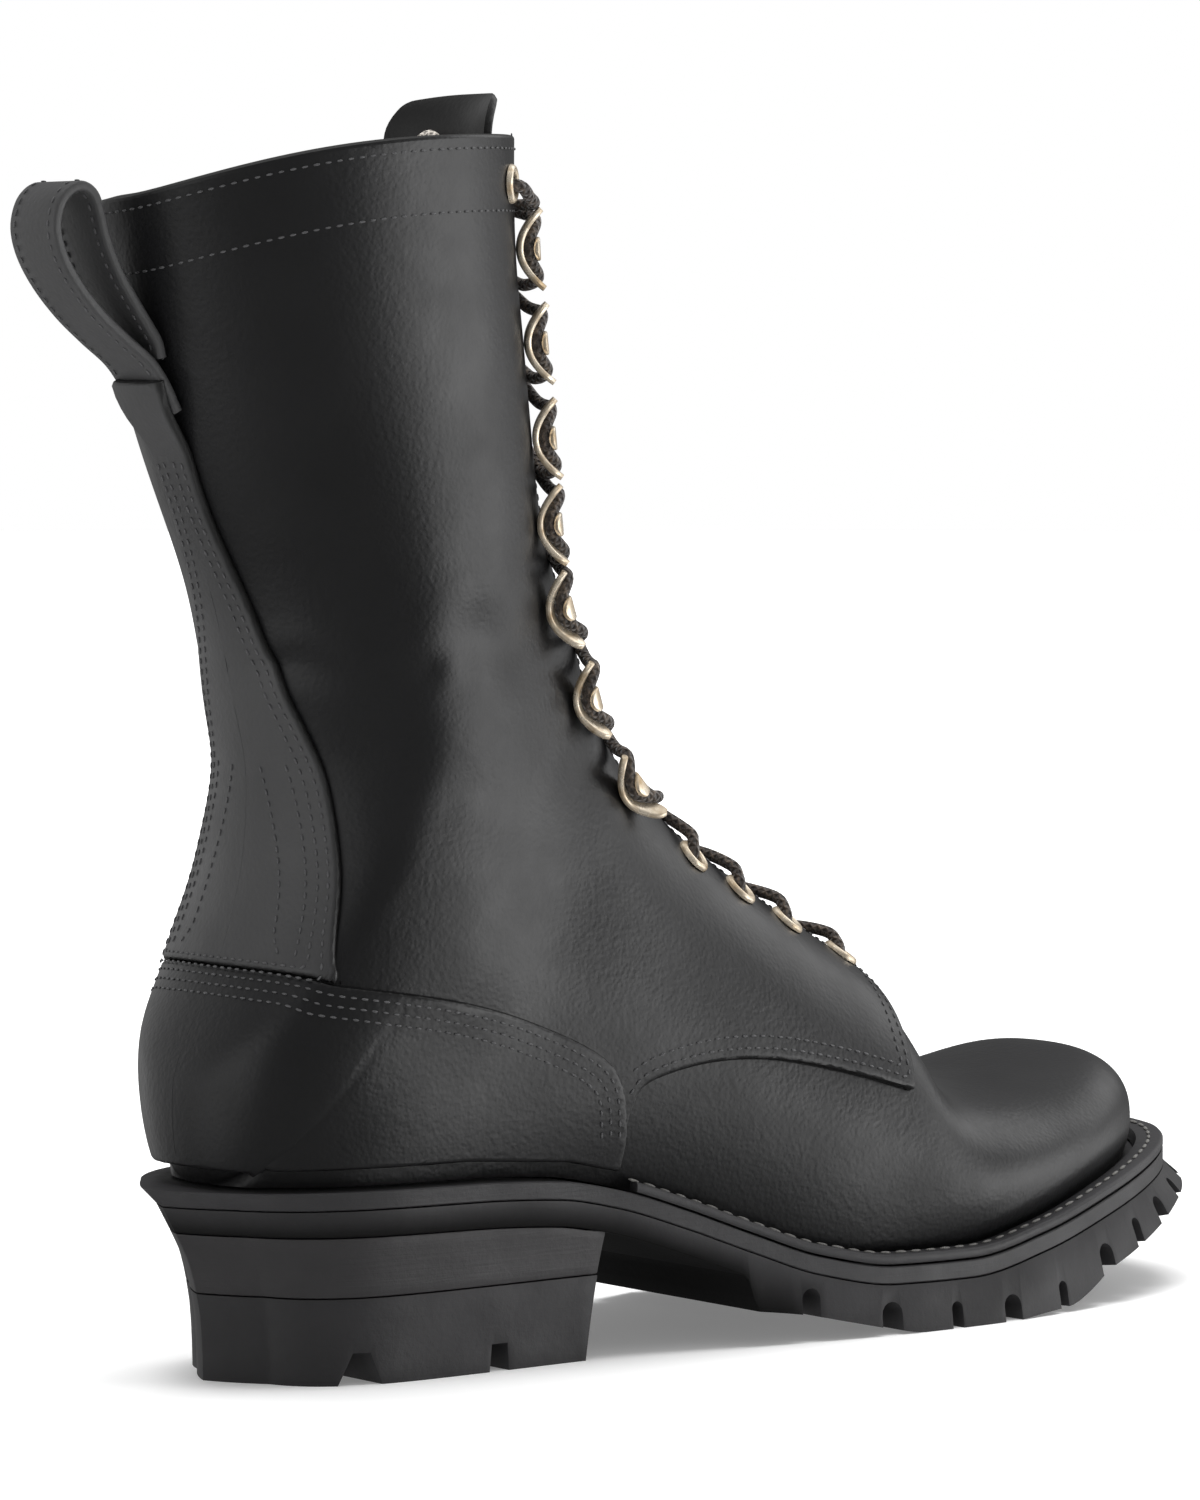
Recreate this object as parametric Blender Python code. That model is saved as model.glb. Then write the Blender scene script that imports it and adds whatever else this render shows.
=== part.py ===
# Lace-up logger work boot for the right foot: a hollow upper on a lugged sole with a high stacked heel.
# The boot points along +X, its inner side is +Y, and Z is up from the floor.
# Tables hold millimetres on the pattern last; the driving sizes below stretch them.

from collections import namedtuple
from math import cos, pi, radians, sin

import bmesh
import bpy
import numpy as np

MM = 0.001

# Driving sizes of this boot
LAST_LENGTH = 0.300
BALL_WIDTH = 0.100
BOOT_HEIGHT = 0.286
HEEL_HEIGHT = 0.046

# The same sizes on the pattern last that the tables were drawn on
PATTERN_LENGTH = 0.300
PATTERN_BALL = 0.100
PATTERN_HEIGHT = 0.286
PATTERN_HEEL = 0.046

LONG = LAST_LENGTH / PATTERN_LENGTH * MM
WIDE = BALL_WIDTH / PATTERN_BALL * MM
TALL = BOOT_HEIGHT / PATTERN_HEIGHT * MM
LIFT = HEEL_HEIGHT / PATTERN_HEEL

# The origin is on the floor, this far ahead of the back of the heel
ORIGIN_AHEAD = 52.0

# Everything below is in pattern millimetres

# Leather thicknesses and the clearance between neighbours
CLEAR = 0.3
UPPER_WALL = 2.0
QUARTER_LOW = CLEAR
QUARTER_TOP = QUARTER_LOW + 1.5
COUNTER_LOW = QUARTER_TOP + CLEAR
COUNTER_TOP = COUNTER_LOW + 1.5
TONGUE_TOP = -UPPER_WALL - 1.2
TONGUE_LOW = TONGUE_TOP - 2.0
INSOLE_THICK = 3.0
INSOLE_INSET = UPPER_WALL + 1.2

# Sole build
WELT_THICK = 2.4
WELT_BACK = 107.0
WELT_FOOT_CLEAR = 2.6
MIDSOLE_THICK = 4.8
SEAT_CLEAR = 0.55
SHANK_THICK = 6.0
HEEL_CAP_TOP = 20.1
BREAST_SECTION = 11
BREAST_TOP = 99.0
BREAST_BOTTOM = 95.0
TREAD_STEP = 136.0
TREAD_START = 139.0
TAPER_FULL = 100.0
TAPER_END = 132.0

# Tread: slots cut in from the edge at these sections, and grooves across the middle at these x
LUG_DEPTH = 6.5
LUG_SHARE = 0.65
SLOT_WIDTH = 4.6
SLOT_REACH = 19.0
SLOT_SECTIONS = (9.05, 8.05, 7.0, 6.0, 5.15, 4.4, 3.75, 3.1, 2.4, 1.6, 0.75)
GROOVE_XS = (166.0, 186.5, 206.0, 224.0, 246.0)
GROOVE_WIDTH = 4.2
GROOVE_HALF = 24.0
GROOVE_DEPTH = 5.0

# Heel notches: place, width at the floor and at the top, depth
Notch = namedtuple("Notch", "x floor_width top_width depth")
HEEL_NOTCHES = (Notch(33.0, 10.0, 4.0, 7.5), Notch(70.0, 5.5, 4.5, 6.5))
NOTCH_FROM = 14.0

# Lacing hardware, standing a little off the faceted quarter
FITTING_LOW = QUARTER_TOP + 0.6
EYELET_OUTER = 4.6
EYELET_HOLE = 2.5
EYELET_RIM = 1.1
BARREL_OUTER = 3.1
PUNCH_RADIUS = BARREL_OUTER + CLEAR
ROW_INSET = 7.5
TOP_ROW_INSET = 12.0
HOOK_METAL = 1.2
HOOK_BEND = 2.3
HOOK_HALF_WIDTH = 2.5
HOOK_BASE_END = 4.5
HOOK_TAB_END = 4.0
HOOK_BEND_AT = -1.5
LACE_RADIUS = 1.9
LACE_LIFT = FITTING_LOW + HOOK_METAL + HOOK_BEND
LACE_DIP = 2.5
UNDER_STRAND = 0.9
LACE_SIDES = 5

# Cut line of the collar: how far each side rises or dips between back and front
COLLAR_RISE = {"out": 6.2, "in": -6.0}
COLLAR_FROM = 19.0

# One row per pair of lace holes, bottom to top: height of the facing there, and the fitting used
LaceRow = namedtuple("LaceRow", "height fitting inset", defaults=[ROW_INSET])
LACE_ROWS = [
    LaceRow(87.5, "eyelet"), LaceRow(97.0, "eyelet"), LaceRow(105.5, "eyelet"), LaceRow(114.5, "eyelet"),
    LaceRow(132.0, "hook"), LaceRow(154.0, "hook"), LaceRow(175.5, "hook"), LaceRow(195.5, "hook"),
    LaceRow(215.5, "hook"), LaceRow(237.5, "hook"), LaceRow(259.5, "hook"), LaceRow(274.5, "eyelet", TOP_ROW_INSET),
]
# Turn of the lace in each fitting, as (across, along) from its middle
HOOK_TURN = [(-7.5, -5.8), (-1.2, -4.9), (1.6, 0), (-1.2, 4.9), (-7.5, 5.8)]
BAR_START = [(2.1, -0.7), (-6.5, -1.2)]
EYELET_TURN = [(-6.5, -4.4), (-1.5, -3.4), (1.4, 0), (-1.5, 3.4), (-6.5, 4.4)]

# Pull loop: path in the middle plane, from the back of the shaft over the collar to the inside
LOOP_PATH = [(-6.1, 233.5), (-13, 238.5), (-20.5, 244), (-27.5, 250.5), (-31.7, 257.5), (-32.8, 263.5),
             (-30, 268.3), (-24, 271.9), (-17, 274), (-10.5, 275.1), (-5.6, 274.2), (-2.8, 269.5), (-1.6, 262),
             (0.9, 252.5)]
LOOP_HALF_WIDTH = 10.0
LOOP_THICK = 2.5

# One row per section of the upper, from the toe round the heel seat and up the back to the collar.
# base_x, rise: foot of the section, and its height above the seat; top_x, top_z: its crest.
# centre: sideways place of the crest line; foot_, wide_: half widths at the foot and where widest.
# wide_at: share of the way up where it is widest; low, high: squareness below and above that.
# gap: half the throat opening.
Section = namedtuple(
    "Section",
    "base_x rise top_x top_z centre foot_out foot_in wide_out wide_in wide_at low high gap",
)
FOOT_SECTIONS = [
    Section(294.5, 0, 294.3, 46.5, 6.0, 0.0, 0.0, 0.0, 0.0, 0.45, 2.0, 2.2, 0),
    Section(292.3, 0, 291.0, 52.0, 6.0, 12.8, 12.8, 15.2, 15.2, 0.42, 2.0, 2.3, 0),
    Section(285.6, 0, 284.0, 58.2, 5.6, 23.5, 23.0, 26.6, 26.1, 0.40, 2.0, 2.4, 0),
    Section(273.4, 0, 273.0, 60.2, 5.0, 32.0, 31.0, 35.8, 34.8, 0.38, 2.0, 2.4, 0),
    Section(256.0, 0, 257.0, 57.4, 4.0, 39.0, 37.0, 43.3, 41.3, 0.38, 2.0, 2.3, 0),
    Section(234.0, 0, 237.0, 54.6, 3.0, 44.0, 41.0, 48.8, 45.8, 0.38, 2.0, 2.2, 0),
    Section(213.0, 0, 220.0, 56.4, 1.5, 45.5, 42.0, 51.2, 47.6, 0.38, 2.0, 2.1, 0),
    Section(196.0, 0, 207.5, 64.0, 0.0, 44.5, 40.0, 50.0, 45.5, 0.38, 2.0, 2.0, 0),
    Section(178.0, 0, 199.0, 83.5, -1.0, 43.0, 36.5, 47.5, 42.0, 0.37, 2.0, 2.0, 7),
    Section(156.0, 0, 180.0, 95.0, -1.5, 39.5, 32.5, 45.0, 39.5, 0.37, 2.0, 2.0, 10),
    Section(130.0, 0, 158.5, 108.5, -1.5, 35.0, 28.5, 41.5, 37.5, 0.38, 2.0, 2.0, 12),
    Section(99.0, 0, 136.0, 124.5, -1.0, 31.5, 27.5, 38.5, 36.0, 0.40, 2.0, 2.0, 13),
    Section(68.0, 0, 120.0, 142.5, -0.5, 31.0, 29.0, 37.0, 35.5, 0.42, 2.0, 2.0, 14),
    Section(38.0, 0, 113.0, 157.5, 0.0, 29.5, 29.0, 36.0, 35.0, 0.44, 2.0, 2.0, 14.5),
    Section(19.2, 0, 109.8, 168.5, 0.0, 23.0, 23.0, 36.0, 35.0, 0.46, 2.1, 2.1, 15),
    Section(10.2, 0, 107.0, 177.0, 0.0, 13.0, 13.0, 36.0, 35.5, 0.47, 2.2, 2.1, 15),
    Section(7.6, 0, 105.0, 183.0, 0.0, 0.0, 0.0, 36.0, 35.5, 0.48, 2.3, 2.1, 15),
]
BACK_SECTIONS = [
    FOOT_SECTIONS[-1],
    Section(4.7, 22, 100.5, 194.0, 0.0, 0, 0, 36.0, 36.0, 0.48, 2.3, 2.1, 15),
    Section(18.4, 52, 95.5, 210.0, 0.0, 0, 0, 36.5, 36.5, 0.49, 2.2, 2.1, 15.5),
    Section(26.0, 88, 91.5, 228.0, 0.0, 0, 0, 37.5, 37.5, 0.50, 2.1, 2.1, 15.5),
    Section(19.6, 128, 88.5, 247.0, 0.0, 0, 0, 39.5, 39.5, 0.50, 2.1, 2.1, 16),
    Section(1.5, 172, 87.0, 265.0, 0.0, 0, 0, 41.0, 41.0, 0.50, 2.1, 2.1, 16),
    Section(-12.0, 225.0, 87.5, 286.2, 0.0, 0, 0, 42.5, 42.5, 0.50, 2.1, 2.1, 16),
    Section(-15.0, 236.0, 91.5, 293.5, 0.0, 0, 0, 42.5, 42.5, 0.50, 2.1, 2.1, 16),
]
HEEL_ROW = len(FOOT_SECTIONS) - 1
COLLAR_ROW = HEEL_ROW + len(BACK_SECTIONS) - 2
TONGUE_ROW = COLLAR_ROW + 1
ALL_SECTIONS = FOOT_SECTIONS + BACK_SECTIONS[1:]

# Heights of the sole along its length: the seat of the upper, and the bottom of the tread
SEAT = [(-5, 46), (60, 45.4), (85, 44), (102, 40.6), (120, 34.6), (138, 27.6), (157, 20.8), (178, 17),
        (202, 16.6), (228, 20.5), (255, 26.7), (280, 32), (300, 35.4), (315, 37)]
TREAD = [(130, 9.6), (139, 8.6), (152, 6.8), (164, 4.2), (176, 1.6), (186, 0), (214, 0), (226, 0.9),
         (235, 1.6), (243, 4.6), (250, 8.4), (262, 12.2), (277, 17.4), (289, 22), (302, 25.6), (318, 28.5)]
# How far the midsole reaches beyond the foot of the upper, by section from toe to heel
LEDGE = [(0, 10.5), (3, 10.0), (5, 8.5), (7, 7.5), (9, 6.5), (11, 6), (13, 6), (14.5, 7), (16, 15)]
# Extra reach of the outsole at the floor, by section
FLARE = [(0, 5), (2, 5), (4, 3.5), (6, 2), (9, 1), (16, 0)]
# Heel side: depth below the seat, and how far back and sides draw in
HEEL_TAPER = [(0, 0, 0), (6.2, 6.4, 0.8), (11.8, 9.4, 1.8), (18, 12.6, 2.6), (26, 15, 3.4),
              (34, 16.3, 4.0), (46, 16.7, 4.4)]
# Half width of the tongue, by section
TONGUE_HALF = [(7.3, 16), (9, 20), (12, 23), (20, 22.5), (TONGUE_ROW, 21.5)]

# Cut lines in side view. The quarters end at the vamp line, and stop short of the sole.
SOLE_LINE = [(-60, 49.5), (60, 48.8), (88, 47.4)]
VAMP_LINE = [(104, 44.4), (104, 54), (105.5, 60), (109.5, 65), (126, 68.5), (145, 68), (167, 63.5),
             (188, 57.5), (192, 72), (195.5, 85), (195, 98), (193, 130)]
COUNTER_LINE = [(103, 45), (103, 56), (98, 70), (78, 80.5), (54, 88), (17, 94), (0, 99), (-60, 101)]
# Backstay: height and half width
BACKSTAY_LINE = [(85, 31), (95, 30), (118, 26), (139, 20), (157, 15.5), (178, 10), (198, 6.5), (215, 6.5),
                 (231.5, 8)]
BACKSTAY_AHEAD = 45.0

SIDES = (-1, 1)
LOW_SHARE = 0.42
WELD = 1e-6


# Curves and the last's surface

def curve(knots, values, at):
    """Smooth curve through the knots that never overshoots them."""
    knots = np.asarray(knots, float)
    values = np.asarray(values, float)
    step = np.diff(knots)
    slope = np.diff(values) / step
    tangent = np.zeros_like(values)
    same_way = slope[:-1] * slope[1:] > 0
    before = 2 * step[1:] + step[:-1]
    after = step[1:] + 2 * step[:-1]
    safe = np.where(same_way, slope[:-1] * slope[1:], 1)
    blend = (before + after) * safe / (before * slope[1:] + after * slope[:-1] + (~same_way) * 1e-9)
    tangent[1:-1] = np.where(same_way, blend, 0)
    tangent[0] = end_tangent(slope[0], slope[1], step[0], step[1])
    tangent[-1] = end_tangent(slope[-1], slope[-2], step[-1], step[-2])
    at = np.clip(np.asarray(at, float), knots[0], knots[-1])
    cell = np.clip(np.searchsorted(knots, at, side="right") - 1, 0, len(step) - 1)
    width = step[cell]
    t = (at - knots[cell]) / width
    rest = 1 - t
    ends = values[cell] * rest ** 2 * (1 + 2 * t) + values[cell + 1] * t ** 2 * (1 + 2 * rest)
    return ends + width * t * rest * (tangent[cell] * rest - tangent[cell + 1] * t)


def end_tangent(near, far, near_step, far_step):
    slope = ((2 * near_step + far_step) * near - near_step * far) / (near_step + far_step)
    if slope * near <= 0:
        return 0.0
    if near * far < 0 and abs(slope) > 3 * abs(near):
        return 3 * near
    return slope


def column(sections, name, at):
    return curve(range(len(sections)), [getattr(row, name) for row in sections], at)


def table(rows, at):
    return curve(*zip(*rows), at)


def seat(x):
    return table(SEAT, x) * LIFT


def side_name(side):
    return "out" if side < 0 else "in"


def last_points(u, v, side, open_throat=True):
    """Points on the outside of the upper: u counts sections, v runs from foot (0) to crest (1)."""
    u, v = np.broadcast_arrays(np.asarray(u, float), np.asarray(v, float))
    on_foot = u <= HEEL_ROW
    back_u = u - HEEL_ROW

    def base(key):
        return np.where(on_foot, column(FOOT_SECTIONS, key, u), column(BACK_SECTIONS, key, back_u))

    def crest(key):
        return column(ALL_SECTIONS, key, u)

    base_x = base("base_x")
    base_z = seat(base_x) + base("rise")
    foot = base("foot_" + side_name(side))
    wide = np.maximum(crest("wide_" + side_name(side)), foot)
    wide_at, low, high = crest("wide_at"), crest("low"), crest("high")
    gap = crest("gap") if open_throat else np.zeros_like(wide)
    lower = np.clip(v / LOW_SHARE, 0, 1) * pi / 2
    open_share = np.clip(gap / np.maximum(wide, 1e-6), 0, 1)
    last_angle = np.arccos(open_share ** (high / 2))
    upper = np.clip((v - LOW_SHARE) / (1 - LOW_SHARE), 0, 1) * last_angle
    low_y = (foot ** low + (wide ** low - foot ** low) * np.sin(lower) ** 2) ** (1 / low)
    low_s = wide_at * (1 - np.abs(np.cos(lower)) ** (2 / low))
    high_y = wide * np.abs(np.cos(upper)) ** (2 / high)
    high_s = wide_at + (1 - wide_at) * np.sin(upper) ** (2 / high)
    above = v > LOW_SHARE
    y = np.where(above, high_y, low_y)
    s = np.where(above, high_s, low_s)
    x = base_x + s * (crest("top_x") - base_x)
    z = base_z + s * (crest("top_z") - base_z)
    near_collar = np.clip((u - COLLAR_FROM) / (COLLAR_ROW - COLLAR_FROM), 0, 1) ** 2
    z = z + COLLAR_RISE[side_name(side)] * near_collar * np.sin(pi * s ** 0.65)
    return np.stack([x, crest("centre") + side * y, z], axis=-1)


def crest_share(u, half, side):
    """The v at which the closed last is half wide, measured from the crest line."""
    wide = column(ALL_SECTIONS, "wide_" + side_name(side), u)
    high = column(ALL_SECTIONS, "high", u)
    angle = np.arccos(np.clip(half / wide, 0, 1) ** (high / 2))
    return LOW_SHARE + (1 - LOW_SHARE) * angle / (pi / 2)


def front_frame(u, half, side):
    """Point on the closed last, with unit vectors along the throat, away from it, and outward."""
    def at(section, width):
        return last_points(section, crest_share(section, width, side), side, open_throat=False)

    fine = 0.02
    point = at(u, half)
    along = at(u + fine, half) - at(u - fine, half)
    along /= np.linalg.norm(along)
    across = at(u, half + fine) - at(u, max(half - fine, 0))
    across -= along * (across @ along)
    across /= np.linalg.norm(across)
    normal = np.cross(along, across) * -side
    return point, along, across, normal


def unit(vector):
    return vector / np.linalg.norm(vector, axis=-1, keepdims=True)


# Materials

def material(name, colour, roughness, metallic=0.0):
    made = bpy.data.materials.new(name)
    made.use_nodes = True
    shader = made.node_tree.nodes["Principled BSDF"]
    shader.inputs["Base Color"].default_value = (*colour, 1)
    shader.inputs["Roughness"].default_value = roughness
    shader.inputs["Metallic"].default_value = metallic
    return made


# Mesh helpers

def to_metres(points):
    """Pattern millimetres to metres in the boot's frame."""
    points = np.asarray(points, float)
    return (points - (ORIGIN_AHEAD, 0, 0)) * (LONG, WIDE, TALL)


def mesh_from(name, points, faces, smooth=True):
    """Closed mesh with welded points and faces pointing out."""
    form = bmesh.new()
    corners = [form.verts.new(point) for point in to_metres(points)]
    for face in faces:
        form.faces.new([corners[index] for index in face])
    bmesh.ops.remove_doubles(form, verts=form.verts, dist=WELD)
    bmesh.ops.recalc_face_normals(form, faces=form.faces)
    mesh = bpy.data.meshes.new(name)
    form.to_mesh(mesh)
    form.free()
    if smooth:
        mesh.shade_smooth()
        mesh.set_sharp_from_angle(angle=radians(40))
    return mesh


def add_object(name, mesh, look):
    mesh.materials.append(look)
    made = bpy.data.objects.new(name, mesh)
    bpy.context.scene.collection.objects.link(made)
    return made


def add_cutter(name, mesh):
    made = bpy.data.objects.new(name, mesh)
    made.hide_render = True
    made.display_type = "WIRE"
    bpy.context.scene.collection.objects.link(made)
    return made


def boolean(target, tool, operation):
    change = target.modifiers.new(operation.lower() + " " + tool.name, "BOOLEAN")
    change.operation = operation
    change.solver = "EXACT"
    change.object = tool


def drop_collapsed(points, faces):
    """Weld equal points and drop the faces that this closes up."""
    index_of = {}
    kept = []
    renumber = []
    for point in points:
        key = tuple(np.round(np.asarray(point) * 1000).astype(int))
        if key not in index_of:
            index_of[key] = len(kept)
            kept.append(point)
        renumber.append(index_of[key])
    clean = []
    for face in faces:
        ring = [renumber[index] for index in face]
        ring = [a for a, b in zip(ring, ring[1:] + ring[:1]) if a != b]
        if len(set(ring)) > 2 and len(set(ring)) == len(ring):
            clean.append(ring)
    return kept, clean


def swept_parts(rings):
    """Points and faces of closed rings joined one after another, with both ends capped."""
    count = len(rings[0])
    points = [point for ring in rings for point in ring]
    last = (len(rings) - 1) * count
    faces = [list(range(count)), list(range(last + count - 1, last - 1, -1))]
    for row in range(len(rings) - 1):
        for index in range(count):
            after = (index + 1) % count
            faces.append([row * count + index, row * count + after,
                          (row + 1) * count + after, (row + 1) * count + index])
    return points, faces


def swept_mesh(name, rings, smooth=True):
    return mesh_from(name, *swept_parts(rings), smooth)


def joined_mesh(name, solids):
    """One mesh of several separate swept solids, each given as its rings."""
    points, faces = [], []
    for rings in solids:
        more_points, more_faces = swept_parts(rings)
        faces.extend([[index + len(points) for index in face] for face in more_faces])
        points.extend(more_points)
    return mesh_from(name, points, faces, smooth=False)


def side_prism(name, outline, half=90.0):
    """Cutter of an outline in side view, pushed through from side to side."""
    rings = [[(x, y, z) for x, z in outline] for y in (-half, half)]
    return add_cutter(name, swept_mesh(name, rings, smooth=False))


def smooth_path(points, steps):
    """Rounded path through the points with a number of steps between each two."""
    points = np.asarray(points, float)
    ends = np.vstack([2 * points[0] - points[1], points, 2 * points[-1] - points[-2]])
    path = []
    for before, start, end, after in zip(ends[:-3], ends[1:-2], ends[2:-1], ends[3:]):
        for t in np.arange(steps) / steps:
            path.append(0.5 * (2 * start + (end - before) * t
                               + (2 * before - 5 * start + 4 * end - after) * t ** 2
                               + (3 * start - before - 3 * end + after) * t ** 3))
    path.append(points[-1])
    return np.array(path)


# The upper's surface as one welded grid, shared by every layer of leather

TOE_STEPS = 20
BACK_STEPS = 9
ACROSS_STEPS = 9
GRID_U = np.concatenate([
    np.linspace(0, HEEL_ROW, TOE_STEPS + 1),
    np.linspace(HEEL_ROW, COLLAR_ROW, BACK_STEPS + 1)[1:],
])
GRID_V = np.tile(np.linspace(0, 1, ACROSS_STEPS + 1), (len(GRID_U), 1))


def welded_grid(u_values, v_of_side, open_throat=True):
    """Points, triangles and outward normals of the last; v_of_side holds a table of v for each side."""
    points = []
    index_of = {}
    shape = v_of_side[0].shape
    ids = np.zeros((2, *shape), int)
    for half, side in enumerate(SIDES):
        grid = last_points(u_values[:, None], v_of_side[half], side, open_throat)
        for i, j in np.ndindex(shape):
            key = tuple(np.round(grid[i, j] * 1000).astype(int))
            if key not in index_of:
                index_of[key] = len(points)
                points.append(grid[i, j])
            ids[half, i, j] = index_of[key]
    points = np.array(points)
    triangles = []
    for half, side in enumerate(SIDES):
        for i, j in np.ndindex(shape[0] - 1, shape[1] - 1):
            ring = [ids[half, i, j], ids[half, i, j + 1], ids[half, i + 1, j + 1], ids[half, i + 1, j]]
            if i == 0:
                ring = ring[1:] + ring[:1]
            if side > 0:
                ring = ring[:1] + ring[:0:-1]
            ring = [a for a, b in zip(ring, ring[1:] + ring[:1]) if a != b]
            triangles.extend((i, [ring[0], *pair]) for pair in zip(ring[1:-1], ring[2:]))
    normals = np.zeros_like(points)
    for i, ring in triangles:
        corner = points[ring]
        normals[ring] += np.cross(corner[1] - corner[0], corner[2] - corner[0])
    return points, triangles, unit(normals)


def shell_mesh(name, grid, low, high, first_row=0):
    """Solid between two offsets of a grid, from one of its rows onward."""
    points, triangles, normals = grid
    rings = [ring for i, ring in triangles if i >= first_row]
    count = len(points)
    offset_points = np.concatenate([points + normals * low, points + normals * high])
    faces = []
    edges = set()
    for ring in rings:
        faces.append([count + index for index in ring])
        faces.append(list(reversed(ring)))
        edges.update(zip(ring, ring[1:] + ring[:1]))
    for a, b in edges:
        if (b, a) not in edges:
            faces.append([a, b, count + b, count + a])
    used = sorted({index for face in faces for index in face})
    renumber = {index: new for new, index in enumerate(used)}
    faces = [[renumber[index] for index in face] for face in faces]
    return mesh_from(name, offset_points[used], faces)


# Leather pieces

def build_upper(grid, look):
    return add_object("upper", shell_mesh("upper", grid, -UPPER_WALL, 0), look)


def build_quarters(grid, look):
    first = int(np.searchsorted(GRID_U, 7.1))
    quarters = add_object("quarters", shell_mesh("quarters", grid, QUARTER_LOW, QUARTER_TOP, first), look)
    outline = SOLE_LINE + VAMP_LINE + [(340, 130), (340, -10), (-60, -10)]
    boolean(quarters, side_prism("vamp window", outline), "DIFFERENCE")
    return quarters


def build_counter(grid, look):
    first = int(np.searchsorted(GRID_U, 10.0))
    counter = add_object("counter", shell_mesh("counter", grid, COUNTER_LOW, COUNTER_TOP, first), look)
    boolean(counter, side_prism("counter outline", SOLE_LINE + COUNTER_LINE), "INTERSECT")
    return counter


def build_backstay(grid, look):
    first = int(np.searchsorted(GRID_U, 13.0))
    backstay = add_object("backstay", shell_mesh("backstay", grid, COUNTER_LOW, COUNTER_TOP, first), look)
    outline = [(-half, z) for z, half in BACKSTAY_LINE] + [(half, z) for z, half in reversed(BACKSTAY_LINE)]
    rings = [[(x, y, z) for y, z in outline] for x in (-60, BACKSTAY_AHEAD)]
    strip = add_cutter("backstay outline", swept_mesh("backstay outline", rings, smooth=False))
    boolean(backstay, strip, "INTERSECT")
    raised = [(x, z + CLEAR) for x, z in SOLE_LINE + COUNTER_LINE]
    boolean(backstay, side_prism("counter place", raised), "DIFFERENCE")
    return backstay


def build_tongue(look):
    u_values = np.concatenate([np.linspace(7.3, COLLAR_ROW, 18), [TONGUE_ROW]])
    half = table(TONGUE_HALF, u_values)
    v_of_side = []
    for side in SIDES:
        start = crest_share(u_values, half, side)
        v_of_side.append(start[:, None] + (1 - start[:, None]) * np.linspace(0, 1, 5))
    grid = welded_grid(u_values, v_of_side, open_throat=False)
    return add_object("tongue", shell_mesh("tongue", grid, TONGUE_LOW, TONGUE_TOP), look)


def build_pull_loop(look):
    path = smooth_path(LOOP_PATH, 2)
    run = unit(np.gradient(path, axis=0))
    side_step = np.stack([-run[:, 1], run[:, 0]], -1) * LOOP_THICK / 2
    rings = []
    for (x, z), (dx, dz) in zip(path, side_step):
        rings.append([(x - dx, -LOOP_HALF_WIDTH, z - dz), (x + dx, -LOOP_HALF_WIDTH, z + dz),
                      (x + dx, LOOP_HALF_WIDTH, z + dz), (x - dx, LOOP_HALF_WIDTH, z - dz)])
    return add_object("pull_loop", swept_mesh("pull_loop", rings), look)


# Sole pieces

def ledge(u):
    return table(LEDGE, u)


def flare(u):
    return table(FLARE, u)


def section_at(x):
    """Section number whose foot is at x."""
    u_values = np.linspace(HEEL_ROW, 0, 3201)
    return np.interp(x, column(FOOT_SECTIONS, "base_x", u_values), u_values)


def foot_edge(u, side, reach):
    """Edge of a sole layer in plan: the upper's foot line pushed out by reach, and the way out."""
    def line(at):
        half = column(FOOT_SECTIONS, "foot_" + side_name(side), at)
        centre = column(FOOT_SECTIONS, "centre", at)
        return np.stack([column(FOOT_SECTIONS, "base_x", at), centre + side * half], -1)

    fine = 1e-3
    run = unit(line(np.clip(u + fine, 0, HEEL_ROW)) - line(np.clip(u - fine, 0, HEEL_ROW)))
    out = np.stack([side * run[..., 1], -side * run[..., 0]], -1)
    at_end = (u <= 0) | (u >= HEEL_ROW)
    straight = np.where(u <= 0, 1.0, -1.0)
    out = np.where(at_end[..., None], np.stack([straight, np.zeros_like(u)], -1), out)
    return line(u) + out * np.asarray(reach)[..., None], out


def layer_edges(u_values, reach, height, depth=0.0):
    """Both edges of a sole layer. The heel draws in with the depth below the seat."""
    depths, back_in, side_in = zip(*HEEL_TAPER)
    inset = np.stack([curve(depths, back_in, depth), curve(depths, side_in, depth)], -1)
    edges = []
    for side in SIDES:
        edge, out = foot_edge(u_values, side, reach)
        share = np.clip((TAPER_END - edge[:, 0]) / (TAPER_END - TAPER_FULL), 0, 1)
        edge = edge - share[:, None] * inset * out
        edges.append(np.column_stack([edge, height(edge[:, 0])]))
    return edges


def slab_mesh(name, levels):
    """Solid through closed levels, each a pair of edges (outer side, inner side)."""
    count = len(levels[0][0])
    points = [point for level in levels for edge in level for point in edge]
    size = 2 * count
    around = list(range(count)) + list(range(size - 1, count - 1, -1))
    faces = []
    for level in (0, len(levels) - 1):
        start = level * size
        for index in range(count - 1):
            faces.append([start + index, start + index + 1,
                          start + count + index + 1, start + count + index])
    for level in range(len(levels) - 1):
        for index in range(size):
            here, after = around[index], around[(index + 1) % size]
            faces.append([level * size + here, level * size + after,
                          (level + 1) * size + after, (level + 1) * size + here])
    return mesh_from(name, *drop_collapsed(points, faces))


SOLE_U = np.concatenate([
    np.linspace(0, 3, 10),
    np.linspace(3, 12, 19)[1:],
    np.linspace(12, HEEL_ROW, 13)[1:],
])


def build_insole(look):
    u_values = SOLE_U[1:-1]
    reach = np.full_like(u_values, -INSOLE_INSET)
    low = layer_edges(u_values, reach, lambda x: seat(x) + CLEAR)
    high = layer_edges(u_values, reach, lambda x: seat(x) + CLEAR + INSOLE_THICK)
    return add_object("insole", slab_mesh("insole", [low, high]), look)


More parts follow.
